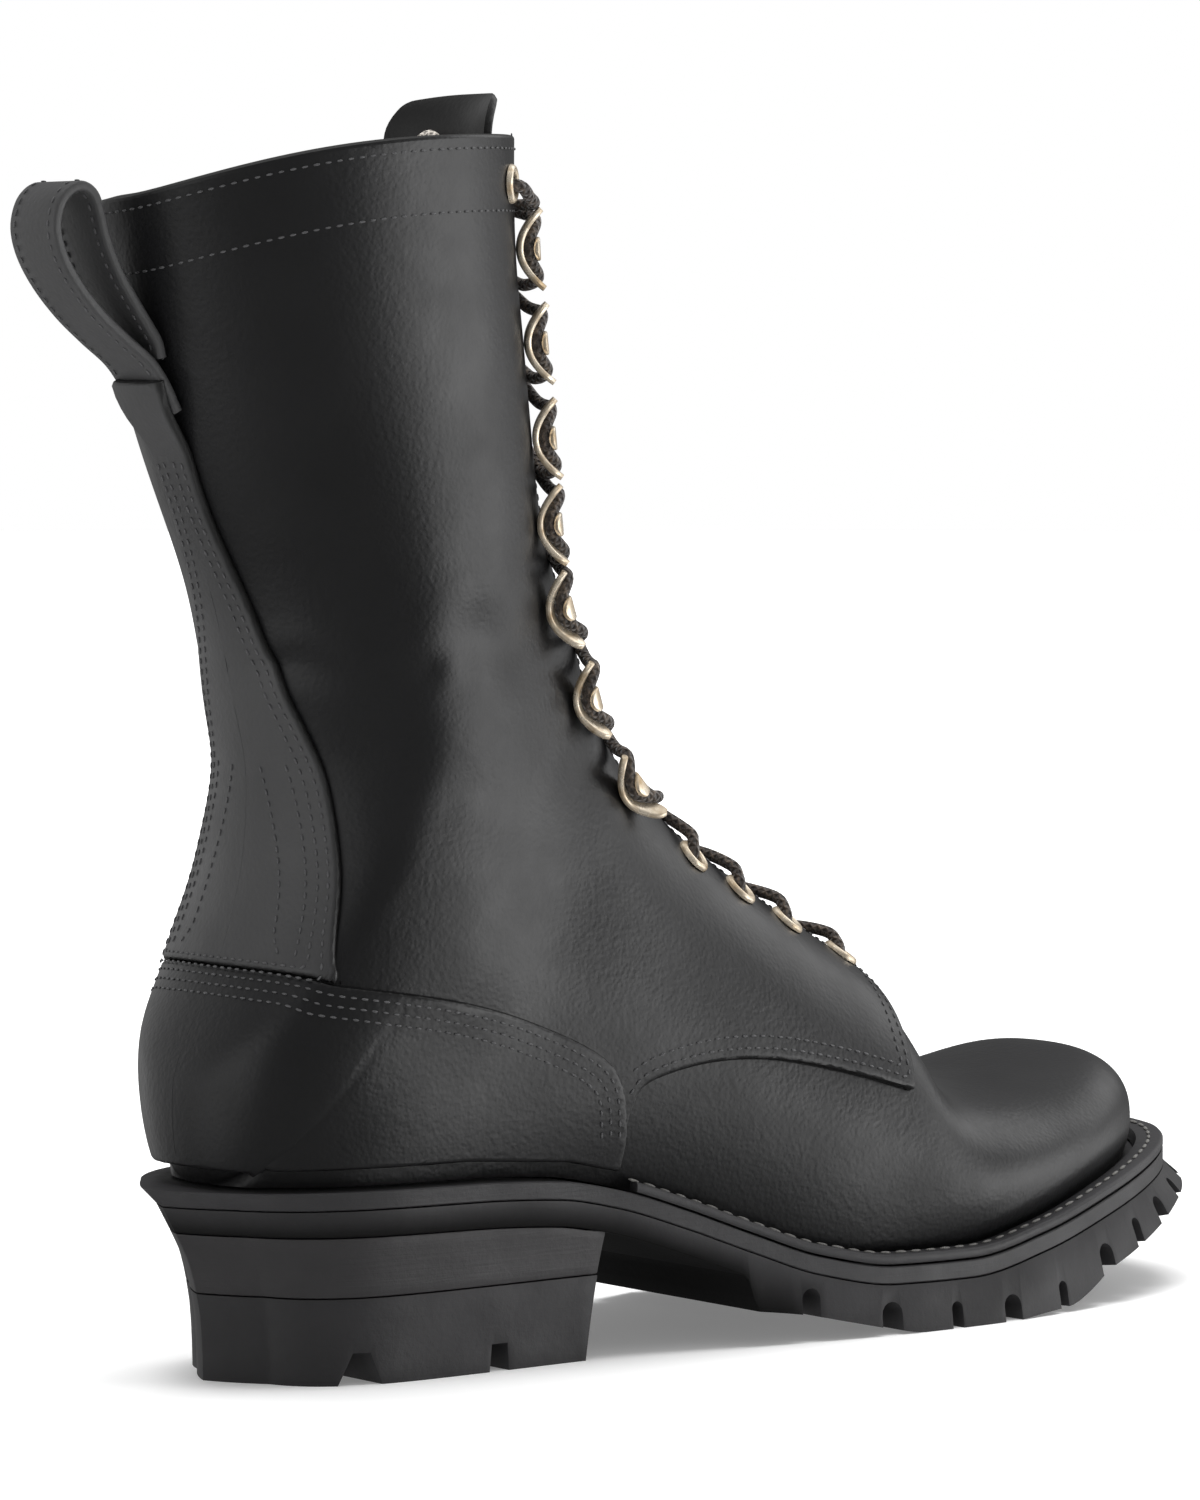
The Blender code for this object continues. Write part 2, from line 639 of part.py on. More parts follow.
def build_midsole(look):
    reach = ledge(SOLE_U)
    low = layer_edges(SOLE_U, reach, lambda x: seat(x) - MIDSOLE_THICK, MIDSOLE_THICK)
    high = layer_edges(SOLE_U, reach, lambda x: seat(x) - SEAT_CLEAR)
    return add_object("midsole", slab_mesh("midsole", [low, high]), look)


def build_welt(look):
    u_values = np.linspace(0, float(section_at(WELT_BACK)), 28)
    rings = []
    for side in SIDES:
        outer, _ = foot_edge(u_values, side, ledge(u_values))
        inner, _ = foot_edge(u_values, side, np.full_like(u_values, WELT_FOOT_CLEAR))
        half_rings = []
        for (outer_x, outer_y), (inner_x, inner_y) in zip(outer, inner):
            outer_z, inner_z = seat(outer_x), seat(inner_x)
            half_rings.append([(outer_x, outer_y, outer_z), (outer_x, outer_y, outer_z + WELT_THICK),
                               (inner_x, inner_y, inner_z + WELT_THICK), (inner_x, inner_y, inner_z)])
        rings.extend(half_rings[::-1] if side < 0 else half_rings[1:])
    return add_object("welt", swept_mesh("welt", rings), look)


def outsole_top(x):
    return seat(x) - MIDSOLE_THICK - CLEAR


def outsole_bottom(x):
    share = np.clip((x - TREAD_STEP) / (TREAD_START - TREAD_STEP), 0, 1)
    shank = outsole_top(x) - SHANK_THICK
    return shank + share * (table(TREAD, x) - shank)


def tread_cutter():
    """Slots in from both edges and grooves across the middle, as one set of boxes."""
    boxes = []
    for u in SLOT_SECTIONS:
        for side in SIDES:
            at = np.array([u])
            edge, out = foot_edge(at, side, ledge(at) + flare(at))
            edge, out = edge[0], out[0]
            aside = np.array([-out[1], out[0]]) * SLOT_WIDTH / 2
            floor = float(table(TREAD, edge[0]))
            top = floor + min(LUG_DEPTH, LUG_SHARE * float(outsole_top(edge[0]) - floor))
            reach = SLOT_REACH * min(1.0, 0.45 + 0.15 * u)
            corners = [edge - out * reach - aside, edge + out * 9 - aside,
                       edge + out * 9 + aside, edge - out * reach + aside]
            boxes.append([[(x, y, z) for x, y in corners] for z in (-12.0, top)])
    for x in GROOVE_XS:
        near, far = x - GROOVE_WIDTH / 2, x + GROOVE_WIDTH / 2
        top = float(table(TREAD, x)) + GROOVE_DEPTH
        corners = [(near, -GROOVE_HALF), (far, -GROOVE_HALF), (far, GROOVE_HALF), (near, GROOVE_HALF)]
        boxes.append([[(*corner, z) for corner in corners] for z in (-12.0, top)])
    return add_cutter("tread cuts", joined_mesh("tread cuts", boxes))


def build_outsole(look):
    step = section_at(np.linspace(TREAD_STEP - 1.5, TREAD_START + 1.5, 5))
    u_values = np.unique(np.round(np.concatenate([SOLE_U, step]), 4))
    top_depth = MIDSOLE_THICK + CLEAR
    low = layer_edges(u_values, ledge(u_values) + flare(u_values), outsole_bottom, top_depth + SHANK_THICK)
    high = layer_edges(u_values, ledge(u_values), outsole_top, top_depth)
    outsole = add_object("outsole", slab_mesh("outsole", [low, high]), look)
    boolean(outsole, tread_cutter(), "DIFFERENCE")
    return outsole


def heel_level(height, depth):
    """Edges of a heel layer; its front is the breast, which leans back towards the floor."""
    u_values = SOLE_U[SOLE_U >= BREAST_SECTION]
    edges = layer_edges(u_values, ledge(u_values), height, depth)
    for edge in edges:
        z = edge[0, 2]
        share = np.clip(z / outsole_bottom(BREAST_TOP), 0, 1)
        edge[0, 0] = BREAST_BOTTOM + (BREAST_TOP - BREAST_BOTTOM) * share
    return edges


def flat(height):
    return lambda x: np.full_like(x, height)


def build_heel_block(look):
    top_depth = MIDSOLE_THICK + SHANK_THICK + 2 * CLEAR
    bottom = HEEL_CAP_TOP + CLEAR
    low = heel_level(flat(bottom), seat(0) - bottom)
    high = heel_level(lambda x: outsole_bottom(x) - CLEAR, top_depth)
    return add_object("heel_block", slab_mesh("heel_block", [low, high]), look)


def build_heel_cap(look):
    low = heel_level(flat(0.0), seat(0))
    middle_z = HEEL_CAP_TOP / 2
    middle = heel_level(flat(middle_z), seat(0) - middle_z)
    high = heel_level(flat(HEEL_CAP_TOP), seat(0) - HEEL_CAP_TOP)
    cap = add_object("heel_cap", slab_mesh("heel_cap", [low, middle, high]), look)
    boxes = []
    for notch in HEEL_NOTCHES:
        for side in SIDES:
            low_half, top_half = notch.floor_width / 2, notch.top_width / 2
            spread = low_half + (low_half - top_half) / notch.depth * 4
            outline = [(notch.x - spread, -4), (notch.x + spread, -4),
                       (notch.x + top_half, notch.depth), (notch.x - top_half, notch.depth)]
            boxes.append([[(x, side * y, z) for x, z in outline] for y in (NOTCH_FROM, 60)])
    boolean(cap, add_cutter("heel notches", joined_mesh("heel notches", boxes)), "DIFFERENCE")
    return cap


# Lacing

def row_frames():
    """Section, frame and fitting of every lace row, for each side."""
    u_values = np.linspace(7, COLLAR_ROW, 600)
    rows = []
    for row in LACE_ROWS:
        pair = {}
        for side in SIDES:
            half = column(ALL_SECTIONS, "gap", u_values) + row.inset
            share = crest_share(u_values, half, side)
            heights = last_points(u_values, share, side, open_throat=False)[:, 2]
            u = float(np.interp(row.height, heights, u_values))
            half = float(column(ALL_SECTIONS, "gap", u)) + row.inset
            pair[side] = (u, half, front_frame(u, half, side))
        rows.append((row.fitting, pair))
    return rows


def in_frame(frame, across, along, out):
    point, along_way, across_way, normal = frame
    return point + across_way * across + along_way * along + normal * out


def ring_around(frame, radius, out, count=8):
    angles = np.arange(count) * 2 * pi / count
    return [in_frame(frame, radius * cos(angle), radius * sin(angle), out) for angle in angles]


def eyelet_mesh(name, frame):
    """Flanged ring: rim on the quarter and a barrel through the leather."""
    rim_low = FITTING_LOW
    rim_top = rim_low + EYELET_RIM
    barrel_end = -UPPER_WALL + CLEAR
    profile = [(EYELET_HOLE, barrel_end), (EYELET_HOLE, rim_top), (EYELET_OUTER - 0.5, rim_top),
               (EYELET_OUTER, rim_low), (BARREL_OUTER, rim_low), (BARREL_OUTER, barrel_end)]
    rings = [ring_around(frame, radius, out) for radius, out in profile]
    points = [point for ring in rings for point in ring]
    count = len(rings[0])
    faces = []
    for row in range(len(rings)):
        following = (row + 1) % len(rings)
        for index in range(count):
            after = (index + 1) % count
            faces.append([row * count + index, row * count + after,
                          following * count + after, following * count + index])
    return mesh_from(name, points, faces)


def hook_mesh(name, frame):
    """Strip of metal bent to a C that opens away from the throat."""
    base = FITTING_LOW
    outer = HOOK_BEND + HOOK_METAL
    middle = base + outer
    angles = np.radians(np.linspace(270, 90, 6))
    profile = [(HOOK_BASE_END, base)]
    profile += [(HOOK_BEND_AT + outer * cos(a), middle + outer * sin(a)) for a in angles]
    profile += [(HOOK_TAB_END, middle + outer), (HOOK_TAB_END, middle + HOOK_BEND)]
    profile += [(HOOK_BEND_AT + HOOK_BEND * cos(a), middle + HOOK_BEND * sin(a)) for a in angles[::-1]]
    profile += [(HOOK_BASE_END, base + HOOK_METAL)]
    rings = []
    for along in (-HOOK_HALF_WIDTH, HOOK_HALF_WIDTH):
        rings.append([in_frame(frame, across, along, out) for across, out in profile])
    return swept_mesh(name, rings)


def build_fittings(rows, look):
    for number, (fitting, pair) in enumerate(rows, 1):
        for side, (u, half, frame) in pair.items():
            name = f"{fitting}_{'outer' if side < 0 else 'inner'}_{number}"
            make = hook_mesh if fitting == "hook" else eyelet_mesh
            add_object(name, make(name, frame), look)


def punch_holes(rows, pieces):
    """One set of punches for the eyelet holes through every layer."""
    punches = []
    for fitting, pair in rows:
        if fitting == "eyelet":
            for u, half, frame in pair.values():
                punches.append([ring_around(frame, PUNCH_RADIUS, out) for out in (-5, 5)])
    tool = add_cutter("eyelet punches", joined_mesh("eyelet punches", punches))
    for piece in pieces:
        boolean(piece, tool, "DIFFERENCE")


def turn_points(fitting, frame):
    turn = HOOK_TURN if fitting == "hook" else EYELET_TURN
    return [(in_frame(frame, across, along, LACE_LIFT), frame[3]) for across, along in turn]


def crossing_points(start, end, dip):
    """Lace between two fittings on opposite sides, following the front of the closed last."""
    (start_u, start_half, side), (end_u, end_half, _) = start, end
    points = []
    for t in (0.3, 0.5, 0.7):
        u = start_u + (end_u - start_u) * t
        y = side * (start_half + (-end_half - start_half) * t)
        point, _, _, normal = front_frame(u, abs(y), -1 if y < 0 else 1)
        lift = LACE_LIFT - dip * (1 - (abs(y) / start_half) ** 2)
        points.append((point + normal * lift, normal))
    return points


def lace_strand(rows, side, dip, with_bar):
    """Path of one strand from the bottom row to the top eyelet, changing sides at every row."""
    path = []
    if with_bar:
        u, half, frame = rows[0][1][-side]
        path += [(in_frame(frame, across, along, LACE_LIFT), frame[3]) for across, along in BAR_START]
        u_here, half_here, _ = rows[0][1][side]
        path += crossing_points((u, half, -side), (u_here, half_here, side), dip)
    for number, (fitting, pair) in enumerate(rows):
        u, half, frame = pair[side]
        turn = turn_points(fitting, frame)
        if number == 0 and not with_bar:
            turn = turn[2:]
        if number == len(rows) - 1:
            turn = turn[:3]
        path += turn
        if number < len(rows) - 1:
            u_next, half_next, _ = rows[number + 1][1][-side]
            path += crossing_points((u, half, side), (u_next, half_next, -side), dip)
        side = -side
    return path


def lace_mesh(name, path):
    points = np.array([point for point, normal in path])
    normals = np.array([normal for point, normal in path])
    run = unit(np.gradient(points, axis=0))
    aside = unit(np.cross(run, normals))
    upward = np.cross(aside, run)
    rings = []
    for point, first, second in zip(points, aside, upward):
        angles = (np.arange(LACE_SIDES) + 0.5) * 2 * pi / LACE_SIDES
        rings.append([point + LACE_RADIUS * (first * cos(a) + second * sin(a)) for a in angles])
    return swept_mesh(name, rings)


def build_lace(rows, look):
    lace = add_object("lace", lace_mesh("lace", lace_strand(rows, -1, LACE_DIP, True)), look)
    other_path = lace_strand(rows, 1, LACE_DIP - UNDER_STRAND, False)
    other = add_cutter("other strand", lace_mesh("other strand", other_path))
    boolean(lace, other, "UNION")
    return lace


def main():
    for old in list(bpy.data.objects):
        bpy.data.objects.remove(old, do_unlink=True)
    leather = material("black leather", (0.016, 0.016, 0.017), 0.42)
    lining = material("lining leather", (0.05, 0.045, 0.04), 0.7)
    sole_edge = material("dressed sole edge", (0.03, 0.03, 0.031), 0.55)
    rubber = material("black rubber", (0.022, 0.022, 0.023), 0.68)
    brass = material("aged brass", (0.52, 0.36, 0.15), 0.34, 1.0)
    cord = material("brown and tan cord", (0.12, 0.075, 0.04), 0.8)

    grid = welded_grid(GRID_U, (GRID_V, GRID_V))
    rows = row_frames()
    upper = build_upper(grid, leather)
    quarters = build_quarters(grid, leather)
    punch_holes(rows, (upper, quarters))
    build_counter(grid, leather)
    build_backstay(grid, leather)
    build_tongue(leather)
    build_pull_loop(leather)
    build_insole(lining)
    build_welt(sole_edge)
    build_midsole(sole_edge)
    build_outsole(rubber)
    build_heel_block(sole_edge)
    build_heel_cap(rubber)
    build_fittings(rows, brass)
    build_lace(rows, cord)


main()
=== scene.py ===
# Tall black lace-up work boot for the right foot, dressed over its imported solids.
# Tables are millimetres on the last, x from the back of the heel; toMetres sets them in the boot's frame.
from math import cos, pi, radians, sin

import bmesh
import bpy
import numpy as np
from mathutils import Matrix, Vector


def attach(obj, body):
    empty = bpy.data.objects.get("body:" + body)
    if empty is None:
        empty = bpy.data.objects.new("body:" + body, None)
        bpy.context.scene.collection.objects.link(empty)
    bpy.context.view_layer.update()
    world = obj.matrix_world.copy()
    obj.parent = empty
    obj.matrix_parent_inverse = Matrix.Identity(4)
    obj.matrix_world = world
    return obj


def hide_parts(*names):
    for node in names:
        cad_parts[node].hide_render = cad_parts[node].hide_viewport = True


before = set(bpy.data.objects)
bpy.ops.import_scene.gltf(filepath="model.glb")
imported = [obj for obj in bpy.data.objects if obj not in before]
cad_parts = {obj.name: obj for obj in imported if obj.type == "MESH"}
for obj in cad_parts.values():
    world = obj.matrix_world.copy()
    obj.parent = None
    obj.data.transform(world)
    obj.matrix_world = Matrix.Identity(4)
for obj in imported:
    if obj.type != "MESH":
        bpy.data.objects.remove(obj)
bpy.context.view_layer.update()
print("frame loaded")

sides = (-1, 1)  # outer side of the foot first


# camera, floor and lights

view = {
    "eye": (-0.8739, -1.1576, 0.2347), "target": (0.0753, 0.0, 0.1405),
    "lens": 149.7, "sensor": 36, "far": 30,
}
stage = {
    "radius": 7.0, "corners": 96, "tone": 0.92, "rough": 0.9,
    # floor's own light, by metres from the boot
    "nearGlow": 0.18, "farGlow": 0.95, "glowFrom": 0.5, "glowTo": 1.6,
    "roomBright": 0.17,
}
glows = [
    # name, degrees round from the toe, degrees up, half width in degrees, brightness
    ("beside the camera", -58, -8, 21, 2.2),
    ("window", -35, 2, 26, 2.5),
    ("low in front", -5, -18, 28, 1.0),
    ("high in front", 0, 30, 28, 1.4),
    ("wall behind", 100, 5, 40, 0.5),
    ("left of the heel", 170, 5, 40, 0.7),
    ("overhead", 0, 80, 60, 0.5),
]
lamps = [
    # name, place, target, size across and down, watts
    ("ceiling", (0.1, 0.1, 1.8), (0.05, 0, 0.1), (1.4, 1.2), 38.0),
]


def linked(name, data):
    made = bpy.data.objects.new(name, data)
    bpy.context.scene.collection.objects.link(made)
    return made


def aimed(obj, target):
    turn = (Vector(target) - obj.location).to_track_quat("-Z", "Y")
    obj.rotation_euler = turn.to_euler()


def addCamera():
    lens = bpy.data.cameras.new("camera")
    lens.sensor_fit = "VERTICAL"
    lens.sensor_height = view["sensor"]
    lens.lens = view["lens"]
    lens.clip_end = view["far"]
    camera = linked("camera", lens)
    camera.location = view["eye"]
    aimed(camera, view["target"])
    bpy.context.scene.camera = camera


def addFloor():
    radius, count = stage["radius"], stage["corners"]
    corners = [(radius * cos(a), radius * sin(a), 0) for a in np.linspace(0, 2 * pi, count, endpoint=False)]
    mesh = bpy.data.meshes.new("floor")
    mesh.from_pydata(corners, [], [list(range(count))])
    look, tree, shader = newLook("pale floor")
    tone = stage["tone"]
    away = addNode(tree, "ShaderNodeVectorMath", {0: objectPlace(tree)}, operation="LENGTH").outputs["Value"]
    glow = spread(tree, away, stage["glowFrom"], stage["glowTo"], stage["nearGlow"], stage["farGlow"])
    plug(tree, shader, {
        "Base Color": (tone, tone, tone, 1), "Roughness": stage["rough"], "Specular IOR Level": 0.0,
        "Emission Color": (1, 1, 1, 1), "Emission Strength": glow,  # white far off, shaded near the boot
    })
    mesh.materials.append(look)
    floor = linked("floor", mesh)
    floor.visible_glossy = False  # keeps the white floor out of the leather's shine


def addRoom():
    # dim room with soft glows, plain white behind the boot
    world = bpy.data.worlds.new("studio")
    world.use_nodes = True
    tree = world.node_tree
    way = addNode(tree, "ShaderNodeTexCoord").outputs["Generated"]
    bright = stage["roomBright"]
    for _, turn, rise, half, power in glows:
        turn, rise = radians(turn), radians(rise)
        towards = Vector((cos(rise) * cos(turn), cos(rise) * sin(turn), sin(rise)))
        facing = addNode(tree, "ShaderNodeVectorMath", {0: way, 1: towards}, operation="DOT_PRODUCT")
        glow = spread(tree, facing.outputs["Value"], cos(radians(half)), 1.0, 0.0, power,
                      interpolation_type="SMOOTHSTEP")
        bright = maths(tree, "ADD", glow, bright)
    seen = addNode(tree, "ShaderNodeLightPath").outputs["Is Camera Ray"]
    strength = maths(tree, "MAXIMUM", bright, seen)
    plug(tree, tree.nodes["Background"], {"Color": (1, 1, 1, 1), "Strength": strength})
    bpy.context.scene.world = world
    bpy.context.scene.view_settings.view_transform = "Standard"


def addLamps():
    for name, place, target, size, power in lamps:
        light = bpy.data.lights.new(name, "AREA")
        light.shape = "RECTANGLE"
        light.size, light.size_y = size
        light.energy = power
        lamp = linked(name, light)
        lamp.location = place
        aimed(lamp, target)
        lamp.visible_glossy = False  # lights the floor, leaves no spot on the leather


# materials

def newLook(name):
    look = bpy.data.materials.new(name)
    look.use_nodes = True
    return look, look.node_tree, look.node_tree.nodes["Principled BSDF"]


def plug(tree, node, inputs):
    # inputs hold either a socket to link or a plain value
    for key, value in inputs.items():
        if isinstance(value, bpy.types.NodeSocket):
            tree.links.new(value, node.inputs[key])
        else:
            node.inputs[key].default_value = value


def addNode(tree, kind, inputs=None, **settings):
    made = tree.nodes.new(kind)
    for key, value in settings.items():
        setattr(made, key, value)
    plug(tree, made, inputs or {})
    return made


def maths(tree, operation, *values):
    return addNode(tree, "ShaderNodeMath", dict(enumerate(values)), operation=operation).outputs[0]


def objectPlace(tree):
    return addNode(tree, "ShaderNodeTexCoord").outputs["Object"]


def attribute(tree, name):
    return addNode(tree, "ShaderNodeAttribute", attribute_name=name).outputs["Fac"]


def noise(tree, place, scale, detail=3.0, roughness=0.5):
    return addNode(tree, "ShaderNodeTexNoise",
                   {"Vector": place, "Scale": scale, "Detail": detail, "Roughness": roughness}).outputs["Fac"]


def stretched(tree, place, scale):
    return addNode(tree, "ShaderNodeMapping", {"Vector": place, "Scale": scale}).outputs["Vector"]


def spread(tree, value, low, high, toLow, toHigh, **settings):
    ends = {"Value": value, "From Min": low, "From Max": high, "To Min": toLow, "To Max": toHigh}
    return addNode(tree, "ShaderNodeMapRange", ends, **settings).outputs["Result"]


def mixed(tree, share, *tones):
    inputs = {0: share}
    for slot, tone in zip((6, 7), tones):  # the node's two colour inputs
        inputs[slot] = tone if isinstance(tone, bpy.types.NodeSocket) else (*tone, 1)
    return addNode(tree, "ShaderNodeMix", inputs, data_type="RGBA").outputs[2]


def bumped(tree, height, strength, distance, under=None):
    # distance in metres
    inputs = {"Height": height, "Strength": strength, "Distance": distance}
    if under is not None:
        inputs["Normal"] = under
    return addNode(tree, "ShaderNodeBump", inputs).outputs["Normal"]


def leatherLook(name, dark, light, edge, gloss):
    look, tree, shader = newLook(name)
    place = objectPlace(tree)
    cloud = noise(tree, place, 14, 4)
    tone = mixed(tree, spread(tree, cloud, 0.35, 0.65, 0, 1), dark, light)
    patch = noise(tree, place, 45, 5, 0.6)
    cells = addNode(tree, "ShaderNodeTexVoronoi", {"Vector": place, "Scale": 950.0, "Randomness": 1.0},
                    feature="SMOOTH_F1").outputs["Distance"]
    soft = bumped(tree, noise(tree, place, 130, 4, 0.55), 0.13, 0.0006)
    fine = bumped(tree, noise(tree, place, 520, 3, 0.6), 0.22, 0.00022, soft)
    plug(tree, shader, {
        # cut edges take the edge tone: edge dye, and on the black leather and the strap a painted shade line
        "Base Color": mixed(tree, attribute(tree, "edge"), tone, edge),
        "Roughness": spread(tree, patch, 0.3, 0.7, gloss - 0.07, gloss + 0.07),
        "Normal": bumped(tree, cells, 0.32, 0.00016, fine),
    })
    return look


def rubberLook(name, dark, light, gloss, streaks):
    look, tree, shader = newLook(name)
    place = objectPlace(tree)
    cloud = noise(tree, place, 22, 5, 0.6)
    tone = mixed(tree, spread(tree, cloud, 0.3, 0.7, 0, 1), dark, light)
    # painted shade: near black where the outsole marks its shank in the shadow under the midsole
    waist = attribute(tree, "waist")
    shine = spread(tree, noise(tree, place, 60, 4), 0.3, 0.7, gloss - 0.08, gloss + 0.08)
    # sanding marks run level round the edge
    level = noise(tree, stretched(tree, place, (60, 60, 1400)), 1.0, 3)
    lines = bumped(tree, level, streaks, 0.0003)
    grain = noise(tree, place, 420, 4, 0.65)
    plug(tree, shader, {
        "Base Color": mixed(tree, waist, tone, (0.0015, 0.0015, 0.0015)),
        "Roughness": maths(tree, "MULTIPLY_ADD", waist, 0.5, shine),
        "Normal": bumped(tree, grain, 0.4, 0.0003, lines),
    })
    return look


def brassLook():
    look, tree, shader = newLook("aged brass")
    place = objectPlace(tree)
    stain = noise(tree, place, 260, 4, 0.6)
    plug(tree, shader, {
        "Base Color": mixed(tree, spread(tree, stain, 0.42, 0.7, 0, 1), (0.9, 0.79, 0.63), (0.5, 0.37, 0.22)),
        "Roughness": spread(tree, stain, 0.35, 0.7, 0.22, 0.42),
        "Normal": bumped(tree, noise(tree, place, 700, 3), 0.12, 0.0002),
        "Metallic": 0.7,
    })
    return look


def cordLook():
    # two families of diagonal strands on the cord's own run (UV: round the cord, along it)
    look, tree, shader = newLook("braided cord")
    place = addNode(tree, "ShaderNodeUVMap", uv_map="run").outputs["UV"]
    parts = addNode(tree, "ShaderNodeSeparateXYZ", {"Vector": place})
    around, along = parts.outputs["X"], parts.outputs["Y"]
    strands, slant = 4, 1.1
    waves = []
    for lean in (1, -1):
        total = maths(tree, "ADD", around, maths(tree, "MULTIPLY", along, slant * lean))
        waves.append(maths(tree, "SINE", maths(tree, "MULTIPLY", total, 2 * pi * strands)))
    weave = maths(tree, "MAXIMUM", *waves)
    fleck = noise(tree, stretched(tree, place, (7, 2.4, 1)), 1.0, 3)
    base = mixed(tree, spread(tree, fleck, 0.5, 0.64, 0, 1), (0.04, 0.029, 0.023), (0.12, 0.09, 0.066))
    # painted highlight: the cord turns light cream where the mark says it crosses the top of the tongue
    base = mixed(tree, attribute(tree, "pale"), base, (0.62, 0.57, 0.51))
    shade = addNode(tree, "ShaderNodeVectorMath", {0: base, "Scale": 0.3}, operation="SCALE").outputs[0]
    plug(tree, shader, {
        "Base Color": mixed(tree, spread(tree, weave, -0.2, 0.7, 0.75, 0), base, shade),
        "Normal": bumped(tree, weave, 0.7, 0.0005),
        "Roughness": 0.62, "Sheen Weight": 0.25,
    })
    return look


def threadLook(name, colour):
    look, tree, shader = newLook(name)
    place = objectPlace(tree)
    pale = tuple(min(1, c * 1.5) for c in colour)
    plug(tree, shader, {
        "Base Color": mixed(tree, noise(tree, place, 300, 2), colour, pale),
        "Normal": bumped(tree, noise(tree, place, 2600, 2), 0.5, 0.0002),
        "Roughness": 0.45,
    })
    return look


leathers = {
    # dark and light tone, tone at the cut edges (edge dye; on the black leather and the strap darker, as
    # painted shade along the edge), gloss
    "leather": ("black leather", (0.006, 0.006, 0.0066), (0.0095, 0.0095, 0.0103), (0.005,) * 3, 0.37),
    # painted light: the strap pieces are the black leather made lighter, for the light they catch from behind
    "strap": ("strap leather", (0.034, 0.034, 0.035), (0.053, 0.053, 0.054), (0.006,) * 3, 0.44),
    "lining": ("lining leather", (0.05, 0.047, 0.044), (0.075, 0.07, 0.066), (0.06, 0.055, 0.05), 0.62),
}
rubbers = {
    # dark and light tone, gloss, depth of the sanding marks
    "edge": ("dressed sole edge", (0.024, 0.0233, 0.0248), (0.038, 0.0372, 0.0395), 0.5, 0.25),
    "heel": ("heel stack", (0.025, 0.0238, 0.025), (0.038, 0.0361, 0.038), 0.52, 0.3),
    "rubber": ("black rubber", (0.019, 0.0184, 0.0196), (0.03, 0.029, 0.0314), 0.58, 0.08),
}
addCamera()
addFloor()
addRoom()
addLamps()
looks = {
    **{key: leatherLook(*finish) for key, finish in leathers.items()},
    **{key: rubberLook(*finish) for key, finish in rubbers.items()},
    "brass": brassLook(),
    "cord": cordLook(),
    # painted sheen: the grey tone on the black thread stands in for the glint on each stitch
    "thread": threadLook("grey thread", (0.06, 0.06, 0.062)),
    "weltThread": threadLook("welt thread", (0.13, 0.127, 0.12)),
}
print("camera, floor, lights and materials")


# the last, from the same sections as the solids

originAhead = 52.0
columnNames = "baseX rise topX topZ centre footOut footIn wideOut wideIn wideAt low high gap".split()
footRows = np.array([
    (294.5, 0, 294.3, 46.5, 6.0, 0.0, 0.0, 0.0, 0.0, 0.45, 2.0, 2.2, 0),
    (292.3, 0, 291.0, 52.0, 6.0, 12.8, 12.8, 15.2, 15.2, 0.42, 2.0, 2.3, 0),
    (285.6, 0, 284.0, 58.2, 5.6, 23.5, 23.0, 26.6, 26.1, 0.40, 2.0, 2.4, 0),
    (273.4, 0, 273.0, 60.2, 5.0, 32.0, 31.0, 35.8, 34.8, 0.38, 2.0, 2.4, 0),
    (256.0, 0, 257.0, 57.4, 4.0, 39.0, 37.0, 43.3, 41.3, 0.38, 2.0, 2.3, 0),
    (234.0, 0, 237.0, 54.6, 3.0, 44.0, 41.0, 48.8, 45.8, 0.38, 2.0, 2.2, 0),
    (213.0, 0, 220.0, 56.4, 1.5, 45.5, 42.0, 51.2, 47.6, 0.38, 2.0, 2.1, 0),
    (196.0, 0, 207.5, 64.0, 0.0, 44.5, 40.0, 50.0, 45.5, 0.38, 2.0, 2.0, 0),
    (178.0, 0, 199.0, 83.5, -1.0, 43.0, 36.5, 47.5, 42.0, 0.37, 2.0, 2.0, 7),
    (156.0, 0, 180.0, 95.0, -1.5, 39.5, 32.5, 45.0, 39.5, 0.37, 2.0, 2.0, 10),
    (130.0, 0, 158.5, 108.5, -1.5, 35.0, 28.5, 41.5, 37.5, 0.38, 2.0, 2.0, 12),
    (99.0, 0, 136.0, 124.5, -1.0, 31.5, 27.5, 38.5, 36.0, 0.40, 2.0, 2.0, 13),
    (68.0, 0, 120.0, 142.5, -0.5, 31.0, 29.0, 37.0, 35.5, 0.42, 2.0, 2.0, 14),
    (38.0, 0, 113.0, 157.5, 0.0, 29.5, 29.0, 36.0, 35.0, 0.44, 2.0, 2.0, 14.5),
    (19.2, 0, 109.8, 168.5, 0.0, 23.0, 23.0, 36.0, 35.0, 0.46, 2.1, 2.1, 15),
    (10.2, 0, 107.0, 177.0, 0.0, 13.0, 13.0, 36.0, 35.5, 0.47, 2.2, 2.1, 15),
    (7.6, 0, 105.0, 183.0, 0.0, 0.0, 0.0, 36.0, 35.5, 0.48, 2.3, 2.1, 15),
])
